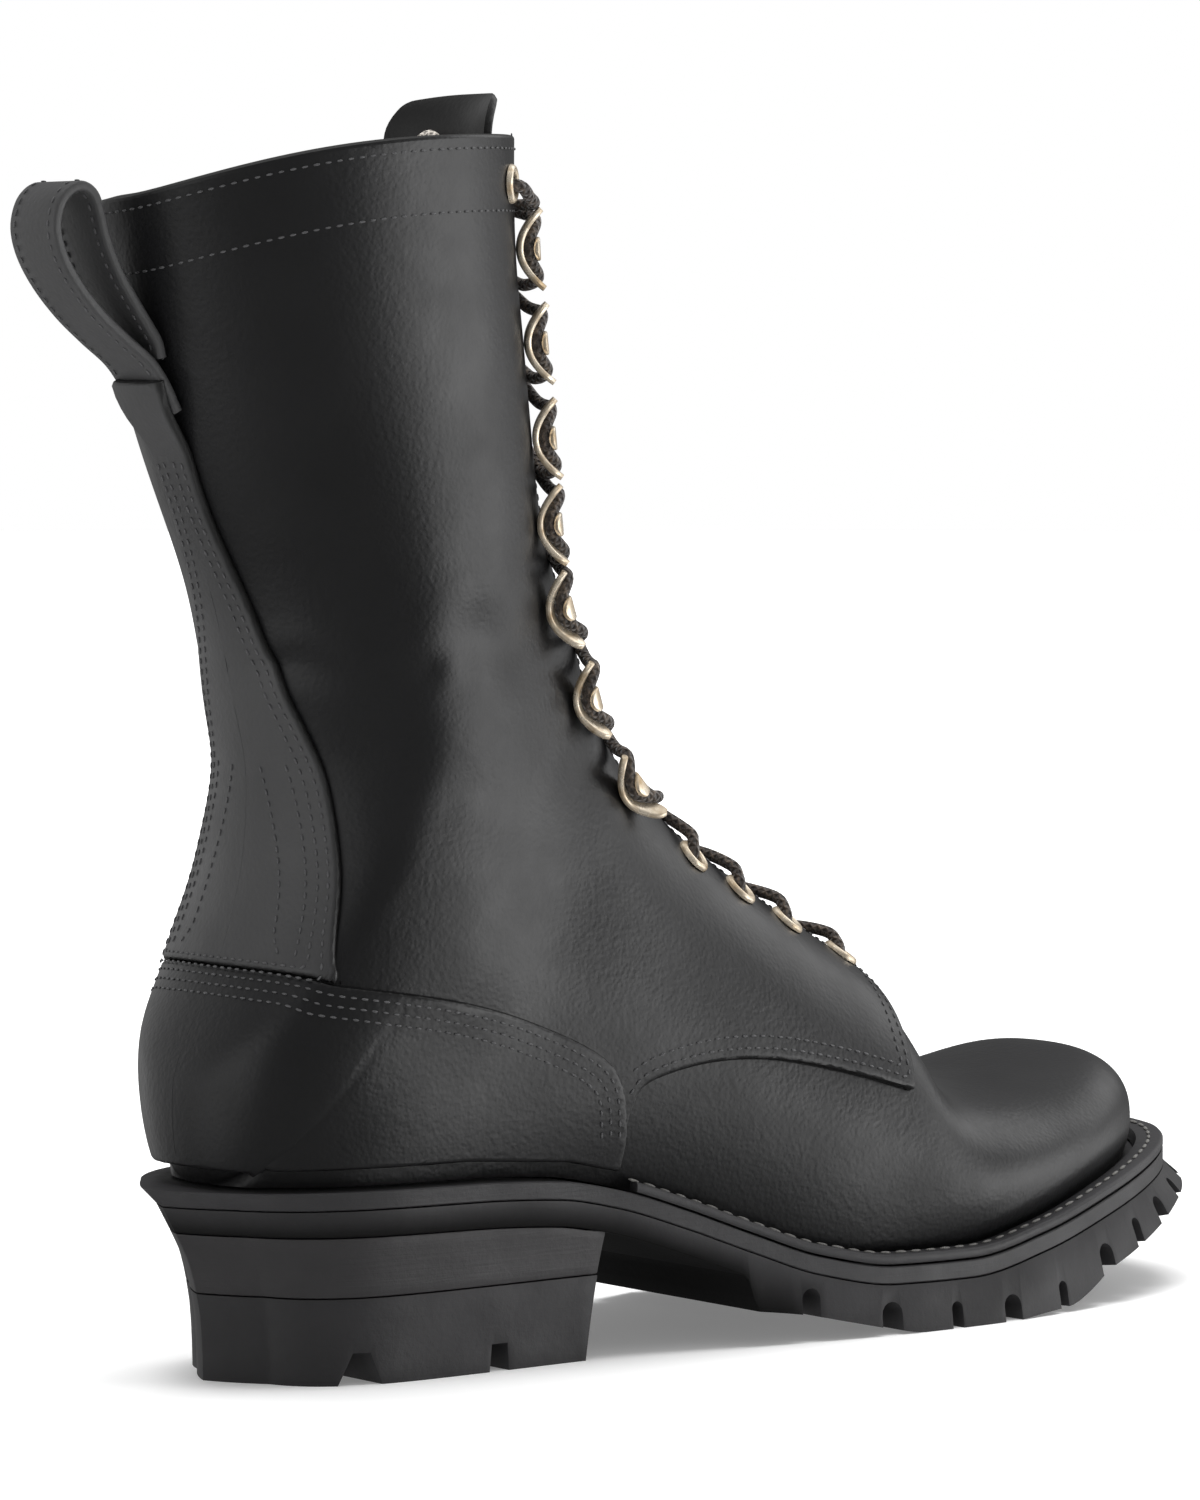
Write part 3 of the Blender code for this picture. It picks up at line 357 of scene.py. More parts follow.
backRows = np.array([
    tuple(footRows[-1]),
    (4.7, 22, 100.5, 194.0, 0.0, 0, 0, 36.0, 36.0, 0.48, 2.3, 2.1, 15),
    (18.4, 52, 95.5, 210.0, 0.0, 0, 0, 36.5, 36.5, 0.49, 2.2, 2.1, 15.5),
    (26.0, 88, 91.5, 228.0, 0.0, 0, 0, 37.5, 37.5, 0.50, 2.1, 2.1, 15.5),
    (19.6, 128, 88.5, 247.0, 0.0, 0, 0, 39.5, 39.5, 0.50, 2.1, 2.1, 16),
    (1.5, 172, 87.0, 265.0, 0.0, 0, 0, 41.0, 41.0, 0.50, 2.1, 2.1, 16),
    (-12.0, 225.0, 87.5, 286.2, 0.0, 0, 0, 42.5, 42.5, 0.50, 2.1, 2.1, 16),
    (-15.0, 236.0, 91.5, 293.5, 0.0, 0, 0, 42.5, 42.5, 0.50, 2.1, 2.1, 16),
])
allRows = np.vstack([footRows, backRows[1:]])
heelRow = len(footRows) - 1
collarRow = heelRow + len(backRows) - 2
tongueRow = collarRow + 1
lowShare = 0.42

seatLine = [(-5, 46), (60, 45.4), (85, 44), (102, 40.6), (120, 34.6), (138, 27.6), (157, 20.8), (178, 17),
            (202, 16.6), (228, 20.5), (255, 26.7), (280, 32), (300, 35.4), (315, 37)]
treadLine = [(130, 9.6), (139, 8.6), (152, 6.8), (164, 4.2), (176, 1.6), (186, 0), (214, 0), (226, 0.9),
             (235, 1.6), (243, 4.6), (250, 8.4), (262, 12.2), (277, 17.4), (289, 22),
             (302, 25.6), (318, 28.5)]
ledgeLine = [(0, 10.5), (3, 10.0), (5, 8.5), (7, 7.5), (9, 6.5), (11, 6), (13, 6), (14.5, 7), (16, 15)]
flareLine = [(0, 5), (2, 5), (4, 3.5), (6, 2), (9, 1), (16, 0)]
heelTaper = [(0, 0, 0), (6.2, 6.4, 0.8), (11.8, 9.4, 1.8), (18, 12.6, 2.6), (26, 15, 3.4),
             (34, 16.3, 4.0), (46, 16.7, 4.4)]
collarRise = {"Out": 6.2, "In": -6.0}  # collar's cut line, between back and front
collarFrom = 19.0
collarSkew = 0.65  # under 1 sets the rise nearer the back


def toMetres(points):
    return (np.asarray(points, float) - (originAhead, 0, 0)) * 0.001


def unit(vectors):
    return vectors / np.maximum(np.linalg.norm(vectors, axis=-1, keepdims=True), 1e-12)


def eased(value):
    value = np.clip(value, 0, 1)
    return value * value * (3 - 2 * value)


def endSlope(near, far, nearStep, farStep):
    slope = ((2 * nearStep + farStep) * near - nearStep * far) / (nearStep + farStep)
    if slope * near <= 0:
        return 0.0
    return 3 * near if near * far < 0 and abs(slope) > 3 * abs(near) else slope


def curve(knots, values, at):
    # smooth through the knots, never past them
    knots, values = np.asarray(knots, float), np.asarray(values, float)
    step = np.diff(knots)
    slope = np.diff(values) / step
    tangent = np.zeros_like(values)
    sameWay = slope[:-1] * slope[1:] > 0
    before, after = 2 * step[1:] + step[:-1], step[1:] + 2 * step[:-1]
    safe = np.where(sameWay, slope[:-1] * slope[1:], 1)
    blend = (before + after) * safe / (before * slope[1:] + after * slope[:-1] + (~sameWay) * 1e-9)
    tangent[1:-1] = np.where(sameWay, blend, 0)
    tangent[0] = endSlope(slope[0], slope[1], step[0], step[1])
    tangent[-1] = endSlope(slope[-1], slope[-2], step[-1], step[-2])
    at = np.clip(np.asarray(at, float), knots[0], knots[-1])
    cell = np.clip(np.searchsorted(knots, at, side="right") - 1, 0, len(step) - 1)
    width = step[cell]
    t = (at - knots[cell]) / width
    rest = 1 - t
    ends = values[cell] * rest ** 2 * (1 + 2 * t) + values[cell + 1] * t ** 2 * (1 + 2 * rest)
    return ends + width * t * rest * (tangent[cell] * rest - tangent[cell + 1] * t)


def table(rows, at):
    return curve(*zip(*rows), at)


fineStep, fineReach = 0.01, 120
softenBy = 0.32  # sections over which the columns are rounded, so that highlights run on


def softened(values, start, end):
    at = np.arange(0, len(values) - 1 + fineStep / 2, fineStep)
    plain = curve(range(len(values)), values, at)
    reach = np.arange(-fineReach, fineReach + 1) * fineStep
    weight = np.exp(-(reach / softenBy) ** 2 / 2)
    soft = np.convolve(np.pad(plain, fineReach, mode="edge"), weight / weight.sum(), "valid")
    share = eased(at - start) * eased(end - at)
    return plain + share * (soft - plain)


def softColumns(rows, start, end):
    return {name: softened(rows[:, k], start, end) for k, name in enumerate(columnNames)}


# softened between these sections of each table
footColumns = softColumns(footRows, 1, 15)
backColumns = softColumns(backRows, 0.6, 6)
crestColumns = softColumns(allRows, 1, 22)


def column(columns, name, at):
    values = columns[name]
    return np.interp(at, np.arange(len(values)) * fineStep, values)


def crest(name, u):
    return column(crestColumns, name, u)


def sideWord(side):
    return "Out" if side < 0 else "In"


def seat(x):
    return table(seatLine, x)


def joinedSpans(*spans):
    # section numbers over spans that follow on, each as from, to and count
    runs = [np.linspace(*span) for span in spans]
    return np.concatenate([runs[0]] + [run[1:] for run in runs[1:]])


def lastPoints(u, v, side, openThroat=True):
    # u counts sections from the toe, v runs from the foot (0) to the crest (1)
    u, v = np.broadcast_arrays(np.asarray(u, float), np.asarray(v, float))
    onFoot = u <= heelRow

    def base(name):
        return np.where(onFoot, column(footColumns, name, u), column(backColumns, name, u - heelRow))

    baseX = base("baseX")
    baseZ = seat(baseX) + base("rise")
    foot = base("foot" + sideWord(side))
    wide = np.maximum(crest("wide" + sideWord(side), u), foot)
    wideAt, low, high = crest("wideAt", u), crest("low", u), crest("high", u)
    gap = crest("gap", u) if openThroat else np.zeros_like(wide)
    lower = np.clip(v / lowShare, 0, 1) * pi / 2
    openShare = np.clip(gap / np.maximum(wide, 1e-6), 0, 1)
    upper = np.clip((v - lowShare) / (1 - lowShare), 0, 1) * np.arccos(openShare ** (high / 2))
    lowY = (foot ** low + (wide ** low - foot ** low) * np.sin(lower) ** 2) ** (1 / low)
    lowS = wideAt * (1 - np.abs(np.cos(lower)) ** (2 / low))
    highY = wide * np.abs(np.cos(upper)) ** (2 / high)
    highS = wideAt + (1 - wideAt) * np.sin(upper) ** (2 / high)
    y = np.where(v > lowShare, highY, lowY)
    s = np.where(v > lowShare, highS, lowS)
    x = baseX + s * (crest("topX", u) - baseX)
    z = baseZ + s * (crest("topZ", u) - baseZ)
    nearCollar = np.clip((u - collarFrom) / (collarRow - collarFrom), 0, 1) ** 2
    z = z + collarRise[sideWord(side)] * nearCollar * np.sin(pi * s ** collarSkew)
    return np.stack([x, crest("centre", u) + side * y, z], axis=-1)


def crestShare(u, half, side):
    wide, high = crest("wide" + sideWord(side), u), crest("high", u)
    angle = np.arccos(np.clip(half / wide, 0, 1) ** (high / 2))
    return lowShare + (1 - lowShare) * angle / (pi / 2)


def frontFrame(u, half, side):
    # point on the closed last, and the ways along the throat, away from it and outward
    def at(section, width):
        return lastPoints(section, crestShare(section, width, side), side, openThroat=False)

    fine = 0.03
    point = at(u, half)
    along = unit(at(u + fine, half) - at(u - fine, half))
    across = at(u, half + fine) - at(u, max(half - fine, 0))
    across = unit(across - along * (across @ along))
    return point, along, across, np.cross(along, across) * -side


def inFrame(place, across, along, out):
    point, alongWay, acrossWay, normal = place
    return point + acrossWay * across + alongWay * along + normal * out


def smoothPath(points, steps):
    points = np.asarray(points, float)
    ends = np.vstack([2 * points[0] - points[1], points, 2 * points[-1] - points[-2]])
    path = []
    for before, start, end, after in zip(ends[:-3], ends[1:-2], ends[2:-1], ends[3:]):
        for t in np.arange(steps) / steps:
            bend, twist = 2 * before - 5 * start + 4 * end - after, 3 * start - before - 3 * end + after
            path.append(0.5 * (2 * start + (end - before) * t + bend * t ** 2 + twist * t ** 3))
    path.append(points[-1])
    return np.array(path)


# sheets of leather on the last

creases = [
    # side (0 for both), line in side view, depth, half width
    (-1, [(24, 166), (34, 163), (46, 163.5)], 0.5, 3.0),
    (-1, [(60, 172), (74, 168), (90, 172)], 0.6, 6.0),
    (0, [(40, 140), (66, 132), (92, 140)], 0.7, 9.0),
    (0, [(23, 94), (26, 116), (29, 140)], 1.3, 13.0),
    (0, [(62, 98), (64, 120), (66, 142)], -1.2, 13.0),
]


creaseRidge, ridgeAt = 0.45, 1.9  # a low ridge on both sides of every crease


def lineDistance(x, z, line):
    line = np.asarray(line, float)
    best = np.full(np.shape(x), np.inf)
    for (ax, az), (bx, bz) in zip(line[:-1], line[1:]):
        span = max((bx - ax) ** 2 + (bz - az) ** 2, 1e-9)
        t = np.clip(((x - ax) * (bx - ax) + (z - az) * (bz - az)) / span, 0, 1)
        best = np.minimum(best, np.hypot(x - ax - t * (bx - ax), z - az - t * (bz - az)))
    return best


def insideOutline(x, z, outline):
    inside = np.zeros(np.shape(x), bool)
    for (ax, az), (bx, bz) in zip(outline, outline[1:] + outline[:1]):
        crosses = (az > z) != (bz > z)
        at = (bx - ax) * (z - az) / (bz - az if bz != az else 1e-9) + ax
        inside ^= crosses & (x < at)
    return inside


def creaseDepth(points, side):
    depth = np.zeros(points.shape[:-1])
    for only, line, deep, wide in creases:
        if only in (0, side):
            away = lineDistance(points[..., 0], points[..., 2], smoothPath(line, 6))
            trough = np.exp(-(away / wide) ** 2)
            ridge = creaseRidge * np.exp(-((away - ridgeAt * wide) / wide) ** 2)
            depth += deep * (trough - ridge)
    return depth


sheetWeld = 500  # steps per millimetre within which points of the two halves are one
slopeLimits = (0.12, 3)


def leatherGrid(uValues, vValues, openThroat=True, worn=True):
    # both halves of the last as one welded sheet; vValues is one row of shares, or a table for each side
    tables = vValues if isinstance(vValues, tuple) else (np.tile(vValues, (len(uValues), 1)),) * 2
    halves = [lastPoints(uValues[:, None], part, side, openThroat) for part, side in zip(tables, sides)]
    raw = np.stack(halves)
    if worn:
        for half, side in enumerate(sides):
            ahead, up = np.gradient(raw[half], axis=0), np.gradient(raw[half], axis=1)
            raw[half] -= unit(np.cross(up, ahead) * -side) * creaseDepth(raw[half], side)[..., None]
    keys = np.round(raw.reshape(-1, 3) * sheetWeld).astype(int)
    _, first, ids = np.unique(keys, axis=0, return_index=True, return_inverse=True)
    points = raw.reshape(-1, 3)[first]
    ids = ids.reshape(raw.shape[:3])
    rings = []
    for half in (0, 1):
        ring = np.stack([ids[half, :-1, :-1], ids[half, :-1, 1:], ids[half, 1:, 1:], ids[half, 1:, :-1]], -1)
        ring = ring.reshape(-1, 4)
        rings.append(ring if half == 0 else ring[:, ::-1])
    faces = np.concatenate(rings)
    corner = points[faces]
    turn = np.cross(corner[:, 2] - corner[:, 0], corner[:, 3] - corner[:, 1])
    normals = np.zeros_like(points)
    for k in range(4):
        np.add.at(normals, faces[:, k], turn)
    return {"raw": raw, "ids": ids, "points": points, "normals": unit(normals), "faces": faces, "u": uValues}


def perPoint(grid, field):
    values = np.empty(len(grid["points"]))
    values[grid["ids"].ravel()] = np.broadcast_to(field, grid["ids"].shape).ravel()
    return values


def onSurface(grid, field):
    # field in any view, made a true distance along the leather, one value per point
    raw = grid["raw"]
    alongU, alongV = np.gradient(raw, axis=1), np.gradient(raw, axis=2)
    fieldU, fieldV = np.gradient(field, axis=1), np.gradient(field, axis=2)
    a, b, c = (alongU ** 2).sum(-1), (alongU * alongV).sum(-1), (alongV ** 2).sum(-1)
    slope = (c * fieldU ** 2 - 2 * b * fieldU * fieldV + a * fieldV ** 2) / np.maximum(a * c - b * b, 1e-6)
    return perPoint(grid, field / np.sqrt(np.clip(slope, *slopeLimits)))


def runLength(grid, axis, fromEnd):
    # millimetres along the leather to one end of the grid
    raw = grid["raw"]
    step = np.linalg.norm(np.diff(raw, axis=axis), axis=-1)
    pad = [(0, 0)] * 3
    pad[axis] = (1, 0)
    total = np.cumsum(np.pad(step, pad), axis=axis)
    if fromEnd:
        total = np.take(total, [-1], axis=axis) - total
    return perPoint(grid, total)


def cutSheet(grid, dist, levels):
    # keeps what lies over the first level, with an edge loop along every level
    points, normals, dist = list(grid["points"]), list(grid["normals"]), [float(d) for d in dist]
    faces = grid["faces"].tolist()
    for order, level in enumerate(levels):
        cuts, done = {}, []
        for face in faces:
            over = [dist[k] > level for k in face]
            if all(over):
                done.append(face)
                continue
            if not any(over):
                if order:
                    done.append(face)
                continue
            parts = ([], [])
            for here, k in enumerate(face):
                there = (here + 1) % len(face)
                parts[over[here]].append(k)
                if over[here] != over[there]:
                    key = (min(k, face[there]), max(k, face[there]))
                    if key not in cuts:
                        a, b = key
                        t = (level - dist[a]) / (dist[b] - dist[a])
                        cuts[key] = len(points)
                        points.append(points[a] + (points[b] - points[a]) * t)
                        normals.append(unit(normals[a] + (normals[b] - normals[a]) * t))
                        dist.append(level)
                    parts[0].append(cuts[key])
                    parts[1].append(cuts[key])
            done.extend(part for part in parts[0 if order else 1:] if len(part) > 2)
        faces = done
    return np.array(points), np.array(normals), np.array(dist), faces


edgeShare = 0.3  # thickness left at a rolled edge


def solidSheet(cut, low, top, roll):
    # wall between two offsets, its upper edge rolled off over the distance roll
    points, normals, dist, faces = cut
    share = np.clip(dist / roll, 0, 1)
    rise = edgeShare + (1 - edgeShare) * np.sqrt(np.clip(1 - (1 - share) ** 2, 0, 1))
    count = len(points)
    low, top = np.broadcast_to(low, count), np.broadcast_to(top, count)
    upper = points + normals * (low + (top - low) * rise)[:, None]
    lower = points + normals * low[:, None]
    edges = {}
    for face in faces:
        for a, b in zip(face, face[1:] + face[:1]):
            edges[(a, b)] = True
    rims = [[b, a, count + a, count + b] for a, b in edges if (b, a) not in edges]
    under = [[count + k for k in reversed(face)] for face in faces]
    every = faces + under + rims
    kind = np.repeat((0, 1, 2), (len(faces), len(under), len(rims)))
    used = np.unique(np.concatenate([np.asarray(face) for face in every]))
    place = np.full(2 * count, -1)
    place[used] = np.arange(len(used))
    # share of the edge tone: 1 along the rolled edge and underneath, where edge dye and painted shade go
    edgeDyeAndShade = np.concatenate([1 - share, np.ones(count)])[used]
    every = [place[face].tolist() for face in every]
    return np.concatenate([upper, lower])[used], every, kind, edgeDyeAndShade


lineLeast, runLeast = 6, 4  # points that a seam needs, in all and in one run


def contour(grid, dist, level, lift, keep=None):
    # lines of points and normals where dist equals level
    points, normals = grid["points"], grid["normals"]
    over = dist > level
    nearby = {}
    for face in grid["faces"][(over[grid["faces"]].sum(1) % 4) > 0].tolist():
        cuts = []
        for a, b in zip(face, face[1:] + face[:1]):
            if over[a] != over[b]:
                cuts.append((min(a, b), max(a, b)))
        for a, b in zip(cuts[::2], cuts[1::2]):
            nearby.setdefault(a, []).append(b)
            nearby.setdefault(b, []).append(a)
    lines, seen = [], set()
    for start in sorted(nearby, key=lambda k: len(nearby[k])):
        if start in seen:
            continue
        chain, here = [], start
        while here is not None and here not in seen:
            seen.add(here)
            chain.append(here)
            here = next((k for k in nearby[here] if k not in seen), None)
        if len(chain) < lineLeast:
            continue
        a, b = np.array(chain).T
        t = ((level - dist[a]) / (dist[b] - dist[a]))[:, None]
        line = points[a] + (points[b] - points[a]) * t
        up = unit(normals[a] + (normals[b] - normals[a]) * t)
        for _ in range(2):
            line[1:-1] = (line[:-2] + 2 * line[1:-1] + line[2:]) / 4
        wanted = np.ones(len(line), bool) if keep is None else keep(line)
        runs = np.split(np.arange(len(line)), np.flatnonzero(np.diff(wanted.astype(int))) + 1)
        runs = [run for run in runs if wanted[run[0]] and len(run) >= runLeast]
        lines.extend((line[run] + up[run] * lift, up[run]) for run in runs)
    return lines


def newMesh(name, points, faces, edges=()):
    mesh = bpy.data.meshes.new(name)
    mesh.from_pydata(toMetres(points).tolist(), edges, faces)
    return mesh


def baked(piece):
    # the modifiers' result becomes the piece's own mesh
    shaped = bpy.data.meshes.new_from_object(piece.evaluated_get(bpy.context.evaluated_depsgraph_get()))
    piece.modifiers.clear()
    piece.data = shaped


def addPiece(name, points, faces, pieceLooks, nodes=(), kind=None, marks=None, uv=None, sharp=40):
    mesh = newMesh(name, points, faces)
    for look in pieceLooks:
        mesh.materials.append(look)
    if kind is not None:
        mesh.polygons.foreach_set("material_index", np.minimum(kind, len(pieceLooks) - 1).astype(np.int32))
    for key, values in (marks or {}).items():
        mesh.attributes.new(key, "FLOAT", "POINT").data.foreach_set("value", np.asarray(values, np.float32))
    if uv is not None:
        layer = mesh.uv_layers.new(name="run")
        layer.data.foreach_set("uv", np.asarray(uv, np.float32).ravel())
    mesh.shade_smooth()
    mesh.set_sharp_from_angle(angle=radians(sharp))
    return settle(linked(name, mesh), nodes)


def settle(piece, nodes=()):
    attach(piece, "root")
    if nodes:
        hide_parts(*nodes)
    return piece


# lace rows, shared by the holes, the fittings and the cord

lacing = {
    # height and fitting, bottom to top
    "rows": [(87.5, "eyelet"), (97, "eyelet"), (105.5, "eyelet"), (114.5, "eyelet"),
             (132, "hook"), (154, "hook"), (175.5, "hook"), (195.5, "hook"), (215.5, "hook"), (237.5, "hook"),
             (259.5, "hook"), (274.5, "eyelet")],
    "inset": 7.5, "topInset": 15.0, "hole": 3.2,
    "searchFrom": 7, "searchSteps": 900,  # sections looked through for each row's height
}


def rowFrames():
    uValues = np.linspace(lacing["searchFrom"], collarRow, lacing["searchSteps"])
    rows = []
    for height, fitting in lacing["rows"]:
        inset = lacing["topInset"] if height == lacing["rows"][-1][0] else lacing["inset"]
        pair = {}
        for side in sides:
            half = crest("gap", uValues) + inset
            heights = lastPoints(uValues, crestShare(uValues, half, side), side, openThroat=False)[:, 2]
            u = float(np.interp(height, heights, uValues))
            half = float(crest("gap", u)) + inset
            pair[side] = (u, half, frontFrame(u, half, side))
        rows.append((fitting, pair))
    return rows


laceRows = rowFrames()


def holeDistance(points):
    best = np.full(len(points), np.inf)
    for fitting, pair in laceRows:
        if fitting == "eyelet":
            for _, _, place in pair.values():
                best = np.minimum(best, np.linalg.norm(points - place[0], axis=1) - lacing["hole"])
    return best


# leather pieces

panels = {
    "clear": 0.3, "wall": 2.0, "sheet": 1.5, "roll": 1.0, "throatRow": 7.05,
    "sole": [(-60, 51.2), (60, 50.4), (88, 48.4)],
    "vampLow": [(104, 44.6), (104, 54), (105.5, 60), (109.5, 65), (126, 68.5), (145, 68), (167, 63.5),
                (188, 57.5)],
    "vampFront": [(188, 57.5), (192, 72), (195.5, 85), (195, 98), (193, 130)],
    "beyond": [(340, 130), (340, -10), (-60, -10)],
    "counter": [(103, 45), (103, 56), (98, 70), (78, 80.5), (54, 88), (17, 94), (0, 99), (-60, 101)],
    "backstay": [(85, 31), (95, 30), (118, 26), (139, 20), (157, 15.5), (178, 10), (198, 6.5), (215, 6.5),
                 (231.5, 8)],  # height and half width
    "backstayLift": 4.4, "liftFrom": 212, "liftOver": 17, "backstayExtra": 0.4, "backstayFront": 45,
    "tongueHalf": [(7.3, 16), (9, 20), (12, 23), (20, 22.5), (tongueRow, 21.5)],
    "tongueEnd": tongueRow - 0.25, "tongueThick": 2.0, "tongueCorner": 6.0,
    # deep under the eyelets, close behind the hooks
    "tongueTop": (-6.4, -3.2), "topFrom": 120, "topOver": 40,
}
grids = {
    # spans of sections, then shares of the way to the crest, each as from, to and count
    "upper": ([(0, 3, 40), (3, heelRow, 150), (heelRow, collarRow, 90)], (0, 1, 62)),
    "quarters": ([(panels["throatRow"], heelRow, 118), (heelRow, collarRow, 136)], (0, 1, 74)),
    "counter": ([(9.8, heelRow, 96), (heelRow, 18.2, 40)], (0, 0.62, 66)),
    "backstay": ([(12.6, heelRow, 50), (heelRow, collarRow, 130)], (0, 0.56, 60)),
}
seams = {
    # rows of stitches, in millimetres from the edge, and where they show
    "lift": 0.12, "backstayLift": 0.5,
    "vamp": (2.6, 5.4), "vampBack": 104, "vampTop": 88,
    "collar": [3.2], "band": [17.5], "bandFront": 76,
    "throat": [2.6], "throatFoot": 84,
    "counter": (2.4, 4.9, 7.4), "counterFoot": 54,
    "backstay": (2.2, 4.6), "backstayTop": 213, "backstayFoot": 3,
    "inner": (7.4, 14.0), "innerSpan": (98, 142),
}
quarterTop = panels["clear"] + panels["sheet"]
overLow = quarterTop + panels["clear"]
overTop = overLow + panels["sheet"]
stitchLines = []  # lines for the dark thread
weltLines = []    # lines for the welt's thread
seamLevels = (0.0, 0.32, panels["roll"])
onEdge = 1e-4     # keeps the sheet's own border
offStrip = -20.0  # well outside the backstay


def signedDistance(grid, outline, view, line=None):
    # positive inside the outline, seen from the side (x, z) or from behind (y, z)
    raw = grid["raw"]
    across, up = raw[..., 0] if view == "side" else raw[..., 1], raw[..., 2]
    away = lineDistance(across, up, outline + outline[:1] if line is None else line)
    return np.where(insideOutline(across, up, outline), away, -away)


def drawn(line, steps=6):
    return [tuple(point) for point in smoothPath(line, steps)]


def addLeather(name, node, cut, low, top, *pieceLooks):
    points, faces, kind, edgeDyeAndShade = solidSheet(cut, low, top, panels["roll"])
    addPiece(name, points, faces, pieceLooks, [node], kind, {"edge": edgeDyeAndShade})


def sew(grid, field, rows, lift, keep=None):
    for row in rows:
        stitchLines.extend(contour(grid, field, row, lift, keep))


def panelGrid(name):
    spans, shares = grids[name]
    return leatherGrid(joinedSpans(*spans), np.linspace(*shares))


def addUpper():
    grid = panelGrid("upper")
    dist = np.minimum(runLength(grid, 1, True), holeDistance(grid["points"]))
    # no throat at the toe
    closed = perPoint(grid, np.where(grid["u"][None, :, None] > panels["throatRow"], 0.0, np.inf))
    dist = np.minimum(dist, runLength(grid, 2, True) + closed) + onEdge
    addLeather("upperLeather", "upper", cutSheet(grid, dist, seamLevels), -panels["wall"], 0,
               looks["leather"], looks["lining"], looks["leather"])


def addQuarters():
    grid = panelGrid("quarters")
    outline = panels["sole"] + drawn(panels["vampLow"]) + drawn(panels["vampFront"]) + panels["beyond"]
    window = onSurface(grid, -signedDistance(grid, outline, "side"))
    throat, collar = runLength(grid, 2, True) + onEdge, runLength(grid, 1, True) + onEdge
    outer = np.minimum(np.minimum(window, throat), collar)
    cut = cutSheet(grid, np.minimum(outer, holeDistance(grid["points"])), seamLevels)
    addLeather("quarterPanels", "quarters", cut, panels["clear"], quarterTop, looks["leather"])
    lift = quarterTop + seams["lift"]
    sew(grid, window, seams["vamp"], lift,
        lambda line: (line[:, 0] > seams["vampBack"]) & (line[:, 2] < seams["vampTop"]))
    sew(grid, collar, seams["collar"], lift)
    sew(grid, collar, seams["band"], lift, lambda line: line[:, 0] < seams["bandFront"])
    sew(grid, throat, seams["throat"], lift, lambda line: line[:, 2] > seams["throatFoot"])


def addCounter():
    grid = panelGrid("counter")
    topLine = drawn(panels["counter"])
    outline = panels["sole"] + topLine
    cut = cutSheet(grid, onSurface(grid, signedDistance(grid, outline, "side")), seamLevels)
    addLeather("counterPanel", "counter", cut, overLow, overTop, looks["leather"])
    away = onSurface(grid, signedDistance(grid, outline, "side", topLine))
    sew(grid, away, seams["counter"], overTop + seams["lift"], lambda line: line[:, 2] > seams["counterFoot"])


def addBackstay():
    grid = panelGrid("backstay")
    line = drawn(panels["backstay"], 5)
    outline = [(-half, z) for z, half in line] + [(half, z) for z, half in reversed(line)]
    strip = signedDistance(grid, outline, "back")
    side = onSurface(grid, np.where(grid["raw"][..., 0] < panels["backstayFront"], strip, offStrip))
    counter = [(x, z + panels["clear"]) for x, z in panels["sole"] + drawn(panels["counter"])]
    foot = onSurface(grid, -signedDistance(grid, counter, "side"))
    cut = cutSheet(grid, np.minimum(side, foot), seamLevels)
    # rides up over the loop's end
    lift = panels["backstayLift"] * eased((cut[0][:, 2] - panels["liftFrom"]) / panels["liftOver"])
    top = overTop + lift + panels["backstayExtra"]
    addLeather("backstayStrip", "backstay", cut, overLow + lift, top, looks["strap"])
    lift, (low, high) = overTop + seams["backstayLift"], seams["innerSpan"]
    sew(grid, np.minimum(side, foot + seams["backstayFoot"]), seams["backstay"], lift,
        lambda line: line[:, 2] < seams["backstayTop"])
    sew(grid, side, seams["inner"], lift, lambda line: (line[:, 2] > low) & (line[:, 2] < high))


def addTongue():
    uValues = np.linspace(panels["tongueHalf"][0][0], panels["tongueEnd"], 170)
    half = table(panels["tongueHalf"], uValues)
    tables = []
    for side in sides:
        start = crestShare(uValues, half, side)
        tables.append(start[:, None] + (1 - start[:, None]) * np.linspace(0, 1, 18))
    grid = leatherGrid(uValues, tuple(tables), openThroat=False, worn=False)
    corner = panels["tongueCorner"]
    aside, above = runLength(grid, 2, False), runLength(grid, 1, True)
    rounded = corner - np.hypot(np.maximum(corner - aside, 0), np.maximum(corner - above, 0))
    dist = np.where((aside < corner) & (above < corner), rounded, np.minimum(aside, above)) + onEdge
    cut = cutSheet(grid, dist, seamLevels)
    low, high = panels["tongueTop"]
    top = low + (high - low) * eased((cut[0][:, 2] - panels["topFrom"]) / panels["topOver"])
    addLeather("tongueLeather", "tongue", cut, top - panels["tongueThick"], top, looks["strap"])


loop = {
    "path": [(-2.6, 222.5), (-5.8, 228.5), (-10, 233.8), (-16.6, 238.8), (-23.5, 244.5), (-29.5, 251),
             (-33.6, 257.5), (-35.2, 263.5), (-34, 268.8), (-31.2, 271.9), (-28, 272.7), (-25.2, 271),
             (-23.6, 267.2), (-21.8, 261), (-18.6, 254), (-14.4, 247.5), (-10.6, 242.2), (-7.9, 238.2),
             (-6.9, 234.6)],  # in the middle plane
    "halfWidth": 8.8, "thick": 2.5, "round": 0.7, "seam": 6.6, "seamLift": 0.1,
}


def roundedSection(halfWide, halfThick, corner, steps=3):
    ring = []
    for cx, cy, start in ((1, 1, 0), (-1, 1, 90), (-1, -1, 180), (1, -1, 270)):
        for angle in np.radians(np.linspace(start, start + 90, steps + 1)):
            ring.append((cx * (halfWide - corner) + corner * cos(angle),
                         cy * (halfThick - corner) + corner * sin(angle)))
    return ring


